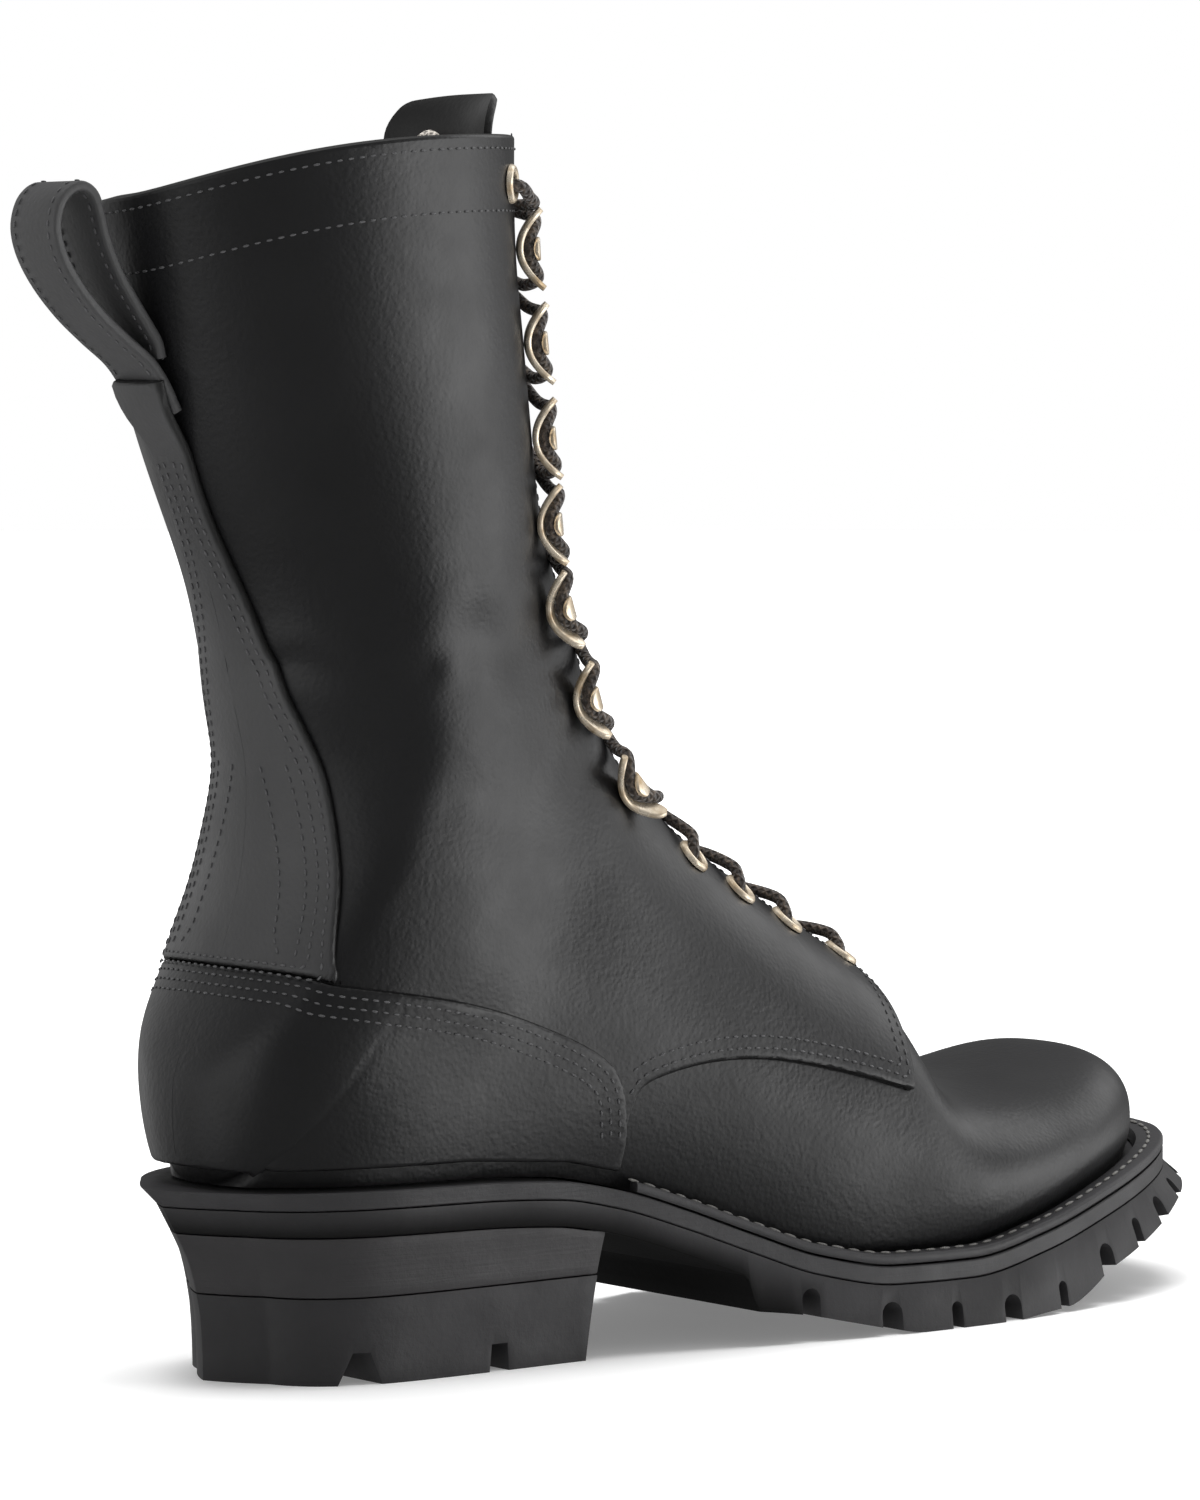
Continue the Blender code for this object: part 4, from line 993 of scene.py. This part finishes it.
def sweptFaces(rows, count, closedEnds=True):
    faces = []
    for low in range(0, (rows - 1) * count, count):
        for k in range(count):
            after = (k + 1) % count
            faces.append([low + k, low + after, low + count + after, low + count + k])
    if closedEnds:
        faces.append(list(range(count))[::-1])
        faces.append([(rows - 1) * count + k for k in range(count)])
    return faces


def addPullLoop():
    path = smoothPath(loop["path"], 6)
    run = unit(np.gradient(path, axis=0))
    section = roundedSection(loop["halfWidth"], loop["thick"] / 2, loop["round"])
    points = []
    for (x, z), (dx, dz) in zip(path, run):
        points.extend((x - dz * out, aside, z + dx * out) for aside, out in section)
    faces = sweptFaces(len(path), len(section))
    addPiece("pullLoop", points, faces, [looks["strap"]], ["pull_loop"])
    lift = loop["thick"] / 2 + loop["seamLift"]
    for aside in (-loop["seam"], loop["seam"]):
        for face in (-1, 1):
            normals = np.stack([-run[:, 1], np.zeros(len(run)), run[:, 0]], -1) * face
            line = np.stack([path[:, 0], np.full(len(path), aside), path[:, 1]], -1) + normals * lift
            stitchLines.append((line, normals))


addUpper()
addQuarters()
addCounter()
addBackstay()
addTongue()
addPullLoop()
print("leather pieces")


# sole pieces

sole = {
    "clear": 0.3, "bevel": 0.3, "heelBevel": 0.4, "treadBevel": 0.5,
    "insole": 3.0, "insoleInset": 3.2, "insoleRound": 0.6,
    "welt": 2.4, "weltBack": 107.0, "weltFoot": 2.6, "threadAt": 0.52, "threadLift": 0.22,
    "midsole": 4.8, "seatClear": 0.55, "shank": 6.0, "step": (136.0, 139.0), "stepMargin": 1.5,
    "taper": (100.0, 132.0),
    "capTop": 20.1, "breast": (99.0, 95.0), "breastSection": 11,
}
tread = {
    "under": -12.0,  # cutters reach this far below the floor
    # painted shade at the shank: where it ends, and how far it fades along the sole and down the side
    "waistShadeEnd": 158.0, "waistShadeFade": (12, 3),
    "slots": [(9.05, 5.0), (8.05, 6.0), (7.0, 3.4), (6.0, 5.8), (5.15, 3.0), (4.4, 5.2), (3.75, 3.2),
              (3.1, 4.6), (2.4, 3.2), (1.6, 4.6), (0.75, 3.4)],  # section and width
    "slotReach": 19.0, "slotOut": 9.0, "slotDepth": 6.5, "slotShare": 0.65,
    "toeReach": (0.45, 0.15),  # share of the reach at the toe, and its growth by section
    "grooves": (166.0, 186.5, 206.0, 224.0, 246.0),
    "grooveWidth": 4.2, "grooveHalf": 24.0, "grooveDepth": 5.0,
    # place, width at the floor and the top, depth
    "notches": ((33.0, 10.0, 4.0, 7.5), (70.0, 5.5, 4.5, 6.5)),
    "notchSpan": (14.0, 60.0), "notchUnder": 4.0,
}
soleU = joinedSpans((0, 3, 40), (3, 12, 90), (12, heelRow, 70))
slabWeld = 1000  # steps per millimetre within which points of a layer are one


def sectionAt(x):
    uValues = np.linspace(heelRow, 0, 3201)
    return np.interp(x, column(footColumns, "baseX", uValues), uValues)


def footEdge(u, side, reach):
    def line(at):
        half, centre = column(footColumns, "foot" + sideWord(side), at), column(footColumns, "centre", at)
        return np.stack([column(footColumns, "baseX", at), centre + side * half], -1)

    fine = 0.02
    run = unit(line(np.clip(u + fine, 0, heelRow)) - line(np.clip(u - fine, 0, heelRow)))
    out = np.stack([side * run[..., 1], -side * run[..., 0]], -1)
    atEnd = (u <= 0) | (u >= heelRow)
    straight = np.where(u <= 0, 1.0, -1.0)
    out = np.where(atEnd[..., None], np.stack([straight, np.zeros_like(u)], -1), out)
    return line(u) + out * np.asarray(reach)[..., None], out


def layerEdges(u, reach, height, depth=0.0):
    depths, backIn, sideIn = zip(*heelTaper)
    inset = np.stack([curve(depths, backIn, depth), curve(depths, sideIn, depth)], -1)
    full, end = sole["taper"]
    edges = []
    for side in sides:
        edge, out = footEdge(u, side, reach)
        share = np.clip((end - edge[:, 0]) / (end - full), 0, 1)
        edge = edge - share[:, None] * inset * out
        edges.append(np.column_stack([edge, height(edge[:, 0])]))
    return edges


def slab(levels):
    # closed layer through pairs of edges, outer side first
    count = len(levels[0][0])
    points = np.concatenate([edge for level in levels for edge in level])
    around = list(range(count)) + list(range(2 * count - 1, count - 1, -1))
    faces = []
    for level in (0, len(levels) - 1):
        start = level * 2 * count
        for k in range(count - 1):
            faces.append([start + k, start + k + 1, start + count + k + 1, start + count + k])
    for level in range(len(levels) - 1):
        low, high = level * 2 * count, (level + 1) * 2 * count
        for a, b in zip(around, around[1:] + around[:1]):
            faces.append([low + a, low + b, high + b, high + a])
    return welded(points, faces)


def welded(points, faces):
    keys = np.round(np.asarray(points) * slabWeld).astype(int)
    _, first, ids = np.unique(keys, axis=0, return_index=True, return_inverse=True)
    ids = ids.ravel()
    clean = []
    for face in faces:
        ring = [int(ids[k]) for k in face]
        ring = [a for a, b in zip(ring, ring[1:] + ring[:1]) if a != b]
        if len(set(ring)) == len(ring) > 2:
            clean.append(ring)
    return np.asarray(points)[first], clean


def outward(mesh):
    form = bmesh.new()
    form.from_mesh(mesh)
    bmesh.ops.recalc_face_normals(form, faces=form.faces)
    form.to_mesh(mesh)
    form.free()


def addSole(name, points, faces, look, slot, node, cutter=None, bevel=0.0, sharp=35):
    mesh = newMesh(name, points, faces)
    outward(mesh)
    piece = linked(name, mesh)
    if cutter:
        cutMesh = newMesh("cut", *cutter)
        outward(cutMesh)
        tool = linked("cut", cutMesh)
        change = piece.modifiers.new("cut", "BOOLEAN")
        change.operation, change.solver, change.object = "DIFFERENCE", "EXACT", tool
    if bevel:
        change = piece.modifiers.new("soft edges", "BEVEL")
        change.width, change.segments, change.limit_method = bevel * 0.001, 2, "ANGLE"
        change.angle_limit = radians(sharp)
        change.harden_normals = False
    if piece.modifiers:
        baked(piece)
    if cutter:
        bpy.data.objects.remove(tool, do_unlink=True)
    piece.data.materials.clear()
    piece.data.materials.append(look)
    piece.data.shade_smooth()
    piece.data.set_sharp_from_angle(angle=radians(sharp))
    piece.data.name = name
    return settle(piece, [node])


def ledge(u):
    return table(ledgeLine, u)


def flare(u):
    return table(flareLine, u)


def outsoleTop(x):
    return seat(x) - sole["midsole"] - sole["clear"]


def outsoleBottom(x):
    step, start = sole["step"]
    share = np.clip((x - step) / (start - step), 0, 1)
    shank = outsoleTop(x) - sole["shank"]
    return shank + share * (table(treadLine, x) - shank)


def prism(near, far):
    # closed solid between two like outlines
    count = len(near)
    faces = [list(range(count))[::-1], list(range(count, 2 * count))]
    faces += [[k, (k + 1) % count, count + (k + 1) % count, count + k] for k in range(count)]
    return [*near, *far], faces


def joined(solids):
    points, faces = [], []
    for morePoints, moreFaces in solids:
        faces += [[k + len(points) for k in face] for face in moreFaces]
        points += list(morePoints)
    return points, faces


def archSlot(edge, out, reach, width, top):
    # slot from the side of the sole, round at the top
    half, under = width / 2, tread["under"]
    arch = [(half * cos(a), top - half + half * sin(a)) for a in np.linspace(0, pi, 9)]
    profile = [(half, under)] + arch + [(-half, under)]
    aside = np.array([-out[1], out[0]])

    def outline(far):
        return [(*(edge + out * far + aside * w), z) for w, z in profile]

    return prism(outline(-reach), outline(tread["slotOut"]))


def treadCuts():
    cuts = []
    start, growth = tread["toeReach"]
    for u, width in tread["slots"]:
        for side in sides:
            at = np.array([u])
            edge, out = footEdge(at, side, ledge(at) + flare(at))
            edge, out = edge[0], out[0]
            reach = tread["slotReach"] * min(1.0, start + growth * u)
            floor = float(table(treadLine, edge[0]))
            top = floor + min(tread["slotDepth"], tread["slotShare"] * float(outsoleTop(edge[0]) - floor))
            cuts.append(archSlot(edge, out, reach, width, top))
    for x in tread["grooves"]:
        near, far, half = x - tread["grooveWidth"] / 2, x + tread["grooveWidth"] / 2, tread["grooveHalf"]
        corners = [(near, -half), (far, -half), (far, half), (near, half)]
        heights = (tread["under"], float(table(treadLine, x)) + tread["grooveDepth"])
        cuts.append(prism(*([(*corner, z) for corner in corners] for z in heights)))
    return joined(cuts)


def addInsole():
    u = soleU[2:-2]
    reach = np.full_like(u, -sole["insoleInset"])
    soft, thick = sole["insoleRound"], sole["insole"]
    levels = []
    for up, inset in ((0, 0), (thick - soft, 0), (thick, soft)):
        levels.append(layerEdges(u, reach - inset, lambda x, up=up: seat(x) + sole["clear"] + up))
    addSole("insoleBoard", *slab(levels), looks["lining"], "lining_leather", "insole")


def addMidsole():
    reach, bevel = ledge(soleU), sole["bevel"]
    low, high = sole["midsole"], sole["seatClear"]
    levels = []
    for drop, inset in ((low, bevel), (low - bevel, 0), (high + bevel, 0), (high, bevel)):
        levels.append(layerEdges(soleU, reach - inset, lambda x, drop=drop: seat(x) - drop, drop))
    addSole("midsoleLayer", *slab(levels), looks["edge"], "sole_edge", "midsole")


def addWelt():
    u = np.linspace(0, float(sectionAt(sole["weltBack"])), 170)
    rings, top, foot = [], sole["welt"], sole["weltFoot"]
    profile = [(0.06, 0), (0, 0.5), (0, top - 0.7), (0.05, top - 0.25), (0.13, top), (0.9, top + 0.15),
               (1, 0)]  # share of the way in, height
    for side in sides:
        outer, _ = footEdge(u, side, ledge(u))
        inner, _ = footEdge(u, side, np.full_like(u, foot))
        half = []
        for a, b in zip(outer, inner):
            points = []
            for share, up in profile:
                x, y = a + (b - a) * share
                points.append((x, y, float(seat(x)) + up))
            half.append(points)
        rings += half[::-1] if side < 0 else half[1:]
        middle, _ = footEdge(u, side, foot + (ledge(u) - foot) * sole["threadAt"])
        line = np.column_stack([middle, seat(middle[:, 0]) + top + sole["threadLift"]])
        weltLines.append((line, np.tile((0.0, 0.0, 1.0), (len(line), 1))))
    points = [point for ring in rings for point in ring]
    addSole("weltStrip", points, sweptFaces(len(rings), len(rings[0])), looks["edge"], "sole_edge", "welt")


def addOutsole():
    (start, end), margin = sole["step"], sole["stepMargin"]
    step = sectionAt(np.linspace(start - margin, end + margin, 5))
    u = np.unique(np.round(np.concatenate([soleU, step]), 4))
    depth = sole["midsole"] + sole["clear"]
    low = layerEdges(u, ledge(u) + flare(u), outsoleBottom, depth + sole["shank"])
    high = layerEdges(u, ledge(u), outsoleTop, depth)
    piece = addSole("outsoleTread", *slab([low, high]), looks["rubber"], "sole_rubber", "outsole",
                    treadCuts(), sole["treadBevel"])
    # painted shade: the outsole's side at the shank is painted near black and made rougher under the midsole,
    # for the shadow there
    spots = np.empty(len(piece.data.vertices) * 3)
    piece.data.vertices.foreach_get("co", spots)
    x, z = spots[0::3] * 1000 + originAhead, spots[2::3] * 1000
    ahead, below = tread["waistShadeFade"]
    waist = eased((tread["waistShadeEnd"] - x) / ahead) * eased((outsoleTop(x) - z) / below)
    piece.data.attributes.new("waist", "FLOAT", "POINT").data.foreach_set("value", waist.astype(np.float32))


def heelLevel(height, depth):
    u = soleU[soleU >= sole["breastSection"]]
    edges = layerEdges(u, ledge(u), height, depth)
    top, bottom = sole["breast"]
    for edge in edges:
        share = np.clip(edge[0, 2] / outsoleBottom(top), 0, 1)
        edge[0, 0] = bottom + (top - bottom) * share
    return edges


def addHeel():
    bottom, clear = sole["capTop"] + sole["clear"], sole["clear"]
    topDepth, lowDepth = sole["midsole"] + sole["shank"] + 2 * clear, seat(0) - bottom
    levels = []
    for share in np.linspace(0, 1, 6):
        depth = topDepth + (lowDepth - topDepth) * (1 - share)
        levels.append(heelLevel(lambda x: bottom + (outsoleBottom(x) - clear - bottom) * share, depth))
    addSole("heelBlock", *slab(levels), looks["heel"], "sole_edge", "heel_block", bevel=sole["heelBevel"])
    heights = np.linspace(0, sole["capTop"], 5)
    cap = [heelLevel(lambda x: np.full_like(x, z), seat(0) - z) for z in heights]
    cuts, under = [], tread["notchUnder"]
    for x, wide, narrow, deep in tread["notches"]:
        low, high = wide / 2 + (wide - narrow) / 2 / deep * under, narrow / 2
        outline = [(x - low, -under), (x + low, -under), (x + high, deep), (x - high, deep)]
        for side in sides:
            cuts.append(prism(*([(px, side * y, pz) for px, pz in outline] for y in tread["notchSpan"])))
    addSole("heelCap", *slab(cap), looks["rubber"], "sole_rubber", "heel_cap",
            joined(cuts), sole["treadBevel"])


addInsole()
addMidsole()
addWelt()
addOutsole()
addHeel()
print("sole pieces")


# eyelets and hooks

eyelet = {
    "outer": 4.6, "hole": 2.5, "barrel": 3.1, "rim": 1.1, "sides": 28,
    "rimFoot": 0.2, "rimFrom": 0.3,  # height where the rim's round starts, and its first angle
    # out from the barrel, up from the lining
    "barrelEnd": -0.7, "rolled": [(0, -0.15), (1.1, -0.2), (1.0, -0.6)],
}
hook = {
    "metal": 1.5, "reach": 9.2, "curl": 5.4, "across": 3.0, "corner": 0.75,
    "half": (3.4, 2.4), "tip": (0.8, 0.05),  # half width in the middle and at the tips, rounding of the tips
    "tabMetal": 1.1, "tabHalf": 2.8, "tabCorner": 0.5, "tabTip": (0.7, 0.1),
    "tab": [(0.2, 0.9), (-0.5, 2.0), (-0.7, 3.2), (-0.3, 4.3), (0.8, 5.0), (2.2, 5.1), (3.8, 4.9),
            (5.0, 4.4)],  # across, out
}
fittingClear = 0.05
fittingLow = quarterTop + fittingClear


def addEyelet(name, node, place):
    low, inside = fittingLow, -panels["wall"]
    middle, half = (eyelet["outer"] + eyelet["hole"]) / 2, (eyelet["outer"] - eyelet["hole"]) / 2
    foot, start = low + eyelet["rimFoot"], eyelet["rimFrom"]
    profile = [(eyelet["hole"], inside + eyelet["barrelEnd"]), (eyelet["hole"], foot)]
    for a in np.linspace(start, pi - start, 8):
        profile.append((middle - half * cos(a), foot + eyelet["rim"] * sin(a)))
    profile += [(eyelet["outer"], low), (eyelet["barrel"], low)]
    profile += [(eyelet["barrel"] + out, inside + up) for out, up in eyelet["rolled"]]
    count = eyelet["sides"]
    angles = np.arange(count) * 2 * pi / count
    points = []
    for radius, out in profile:
        points += [inFrame(place, radius * cos(a), radius * sin(a), out) for a in angles]
    faces = sweptFaces(len(profile), count, False)
    last = (len(profile) - 1) * count
    faces += [[last + k, last + (k + 1) % count, (k + 1) % count, k] for k in range(count)]
    piece = addPiece(name, points, faces, [looks["brass"]], [node], sharp=50)
    outward(piece.data)


def tapered(share, start, soft):
    return np.sqrt(max(1 - max(share - start, 0) ** 2 / soft, 0.1))


def addHook(name, node, place):
    # a saddle that curls away from the leather at both tips, and a tab over the cord
    points, metal = [], hook["metal"]
    middleHalf, tipHalf = hook["half"]
    ends = np.linspace(-1, 1, 23)
    path = np.stack([ends * hook["reach"], fittingLow + metal / 2 + hook["curl"] * np.abs(ends) ** 2], -1)
    for (along, out), (da, do), end in zip(path, unit(np.gradient(path, axis=0)), ends):
        half = (middleHalf + (tipHalf - middleHalf) * end ** 2) * tapered(abs(end), *hook["tip"])
        for across, thick in roundedSection(half, metal / 2, hook["corner"]):
            points.append(inFrame(place, hook["across"] + across, along - do * thick, out + da * thick))
    faces = sweptFaces(len(path), len(points) // len(path))
    start = len(points)
    path = smoothPath(hook["tab"], 3)
    for k, ((across, out), (da, do)) in enumerate(zip(path, unit(np.gradient(path, axis=0)))):
        half = hook["tabHalf"] * tapered(k / (len(path) - 1), *hook["tabTip"])
        for along, thick in roundedSection(half, hook["tabMetal"] / 2, hook["tabCorner"]):
            points.append(inFrame(place, across - do * thick, along, fittingLow + out + da * thick))
    faces += [[start + k for k in face] for face in sweptFaces(len(path), (len(points) - start) // len(path))]
    piece = addPiece(name, points, faces, [looks["brass"]], [node], sharp=50)
    outward(piece.data)


for number, (fitting, pair) in enumerate(laceRows, 1):
    for side, (_, _, place) in pair.items():
        word = "outer" if side < 0 else "inner"
        make = addHook if fitting == "hook" else addEyelet
        make(f"{fitting}{word.capitalize()}{number}", f"{fitting}_{word}_{number}", place)
print("eyelets and hooks")


# lace: two strands that change sides at every row, run through the eyelets and round the hooks

lace = {
    # steps are across, along and out of the row's place
    "radius": 1.45, "sides": 12, "step": 0.9, "firstUp": (0.3, 0.2, 1.0),
    "hookTurn": [(-6.6, -8.4, 1.9), (-1.6, -6.6, 5.0), (2.6, -2.0, 3.0), (2.6, 2.0, 3.0), (-1.6, 6.6, 5.0),
                 (-6.6, 8.4, 1.9)],
    "fromBehind": [(-6.5, -1.5, -4.2)],
    "outOfHole": [(-0.6, -0.3, -4.2), (0, 0, 0.5), (-0.2, 0.4, 2.4), (-2.4, 1.4, 3.8), (-5.4, 3.0, 4.2)],
    "intoHole": [(-9.5, -4.6, 4.6), (-5.4, -2.8, 5.0), (-1.4, -0.6, 4.0), (0, 0, 0.8), (0.3, 0.4, -4.0)],
    "behindTop": [(-0.6, 2.4, -7.6)],
    "tucked": [(75.0, 17.0, 277.5), (77.4, 9.5, 283.2), (79.2, 4.6, 286.6), (78.6, -0.4, 283.6),
               (77.4, -2.4, 279.0)],  # on the last
    # painted highlight on the cord above this height, within this half width of the middle
    "highlightOver": 279, "highlightHalf": 14,
    "crossAt": (0.28, 0.5, 0.72), "overLifts": (1.4, 0.4, 1.4), "underLifts": (2.0, -1.6, -4.0), "apart": 1.6,
    "climb": {"hook": 0.25, "eyelet": 0.8},  # the turns on the hooks take up most of the rise
}


def crossing(start, end, lifts, climb):
    (startU, startHalf, side), (endU, endHalf) = start, end
    points = []
    for t, lift in zip(lace["crossAt"], lifts):
        u = startU + (endU - startU) * (0.5 + (t - 0.5) * climb)
        y = side * (startHalf - (endHalf + startHalf) * t)
        point, _, _, normal = frontFrame(u, abs(y), -1 if y < 0 else 1)
        points.append(point + normal * lift)
    return points


def strand(side, first):
    path = []
    for number, (fitting, pair) in enumerate(laceRows):
        u, half, place = pair[side]
        last = number == len(laceRows) - 1
        if fitting == "hook":
            steps = [(across, along, fittingLow + out) for across, along, out in lace["hookTurn"]]
        elif last:
            steps = lace["intoHole"] + (lace["behindTop"] if side > 0 else [])
        else:
            steps = (lace["fromBehind"] if number or first else []) + lace["outOfHole"]
        path += [inFrame(place, *step) for step in steps]
        if last:
            path += lace["tucked"] if side > 0 else []
            break
        nextFitting, nextPair = laceRows[number + 1]
        lifts = list(lace["overLifts"] if nextFitting == "hook" else lace["underLifts"])
        lifts[1] += lace["apart"] if (number + (side > 0)) % 2 else 0  # one strand over the other
        path += crossing((u, half, side), nextPair[-side][:2], lifts, lace["climb"][fitting])
        side = -side
    return path


def addLace():
    points, faces, uv, pale = [], [], [], []
    for side, first in ((-1, True), (1, False)):
        path = smoothPath(strand(side, first), 14)
        length = np.concatenate([[0], np.cumsum(np.linalg.norm(np.diff(path, axis=0), axis=1))])
        at = np.linspace(0, length[-1], int(length[-1] / lace["step"]))
        path = np.stack([np.interp(at, length, path[:, k]) for k in range(3)], -1)
        run = unit(np.gradient(path, axis=0))
        aside = unit(np.cross(run[0], lace["firstUp"]))
        start, count = len(points), lace["sides"]
        angles = np.arange(count) * 2 * pi / count
        for point, way in zip(path, run):
            aside = unit(aside - way * (aside @ way))
            up = np.cross(way, aside)
            points += [point + lace["radius"] * (aside * cos(a) + up * sin(a)) for a in angles]
            # painted highlight mark for the top of the lacing
            pale += [float(point[2] > lace["highlightOver"] and abs(point[1]) < lace["highlightHalf"])] * count
        tube = sweptFaces(len(path), count)
        scale = 2 * pi * lace["radius"]
        for face in tube[:-2]:
            row, k = divmod(face[0], count)
            uv += [(k / count, at[row] / scale), ((k + 1) / count, at[row] / scale),
                   ((k + 1) / count, at[row + 1] / scale), (k / count, at[row + 1] / scale)]
        for face in tube[-2:]:
            uv += [(0, 0)] * len(face)
        faces += [[start + k for k in face] for face in tube]
    piece = addPiece("laceCord", points, faces, [looks["cord"]], ["lace"], marks={"pale": pale},
                     uv=uv)
    outward(piece.data)


addLace()
print("lace")


# stitches, laid along their lines by nodes

stitch = {"pitch": 2.7, "length": 1.7, "width": 0.62, "height": 0.5, "seed": 7}
weltStitch = {"pitch": 4.6, "length": 3.7, "width": 1.0, "height": 0.8, "seed": 11}
bead = {"segments": 7, "rings": 5, "smallest": 0.86, "largest": 1.06}  # sizes as shares of the full stitch


def stitchTree():
    tree = bpy.data.node_groups.new("stitch rows", "GeometryNodeTree")
    face = tree.interface
    face.new_socket("Geometry", in_out="INPUT", socket_type="NodeSocketGeometry")
    sockets = {}
    for name in ("Pitch", "Length", "Width", "Height"):
        sockets[name] = face.new_socket(name, in_out="INPUT", socket_type="NodeSocketFloat").identifier
    sockets["Seed"] = face.new_socket("Seed", in_out="INPUT", socket_type="NodeSocketInt").identifier
    sockets["Thread"] = face.new_socket("Thread", in_out="INPUT", socket_type="NodeSocketMaterial").identifier
    face.new_socket("Geometry", in_out="OUTPUT", socket_type="NodeSocketGeometry")
    given = tree.nodes.new("NodeGroupInput").outputs

    def made(kind, inputs, output="Geometry", **settings):
        return addNode(tree, kind, inputs, **settings).outputs[output]

    rows = made("GeometryNodeMeshToCurve", {"Mesh": given["Geometry"]}, "Curve")
    rows = made("GeometryNodeResampleCurve", {"Curve": rows, "Length": given["Pitch"]}, "Curve",
                mode="LENGTH")
    ball = {"Segments": bead["segments"], "Rings": bead["rings"], "Radius": 0.5}
    oneStitch = made("GeometryNodeMeshUVSphere", ball, "Mesh")
    size = made("ShaderNodeCombineXYZ", {"X": given["Length"], "Y": given["Width"], "Z": given["Height"]}, 0)
    oneStitch = made("GeometryNodeTransform", {"Geometry": oneStitch, "Scale": size})
    up = made("GeometryNodeInputNamedAttribute", {"Name": "up"}, "Attribute", data_type="FLOAT_VECTOR")
    way = made("GeometryNodeInputTangent", {}, "Tangent")
    turn = made("FunctionNodeAlignRotationToVector", {"Vector": way}, "Rotation", axis="X")
    turn = made("FunctionNodeAlignRotationToVector", {"Rotation": turn, "Vector": up}, "Rotation", axis="Z",
                pivot_axis="X")
    limits = {2: bead["smallest"], 3: bead["largest"], "Seed": given["Seed"]}
    vary = made("FunctionNodeRandomValue", limits, 1, data_type="FLOAT")
    beads = made("GeometryNodeInstanceOnPoints",
                 {"Points": rows, "Instance": oneStitch, "Rotation": turn, "Scale": vary}, "Instances")
    real = made("GeometryNodeRealizeInstances", {"Geometry": beads})
    real = made("GeometryNodeSetShadeSmooth", {"Geometry": real})
    real = made("GeometryNodeSetMaterial", {"Geometry": real, "Material": given["Thread"]})
    result = tree.nodes.new("NodeGroupOutput")
    tree.links.new(real, result.inputs[0])
    return tree, sockets


def addStitches(name, lines, sizes, thread, tree, sockets):
    points, edges, up = [], [], []
    for line, normals in lines:
        start = len(points)
        points += list(line)
        up += list(normals)
        edges += [(k, k + 1) for k in range(start, len(points) - 1)]
    mesh = newMesh(name, points, [], edges)
    ups = mesh.attributes.new("up", "FLOAT_VECTOR", "POINT").data
    ups.foreach_set("vector", np.ravel(up).astype(np.float32))
    piece = linked(name, mesh)
    change = piece.modifiers.new("stitches", "NODES")
    change.node_group = tree
    for key in ("Pitch", "Length", "Width", "Height"):
        change[sockets[key]] = sizes[key.lower()] * 0.001
    change[sockets["Seed"]] = sizes["seed"]
    change[sockets["Thread"]] = thread
    baked(piece)
    piece.data.name = name
    settle(piece)


tree, sockets = stitchTree()
addStitches("stitches", stitchLines, stitch, looks["thread"], tree, sockets)
addStitches("weltStitches", weltLines, weltStitch, looks["weltThread"], tree, sockets)
print("stitches")
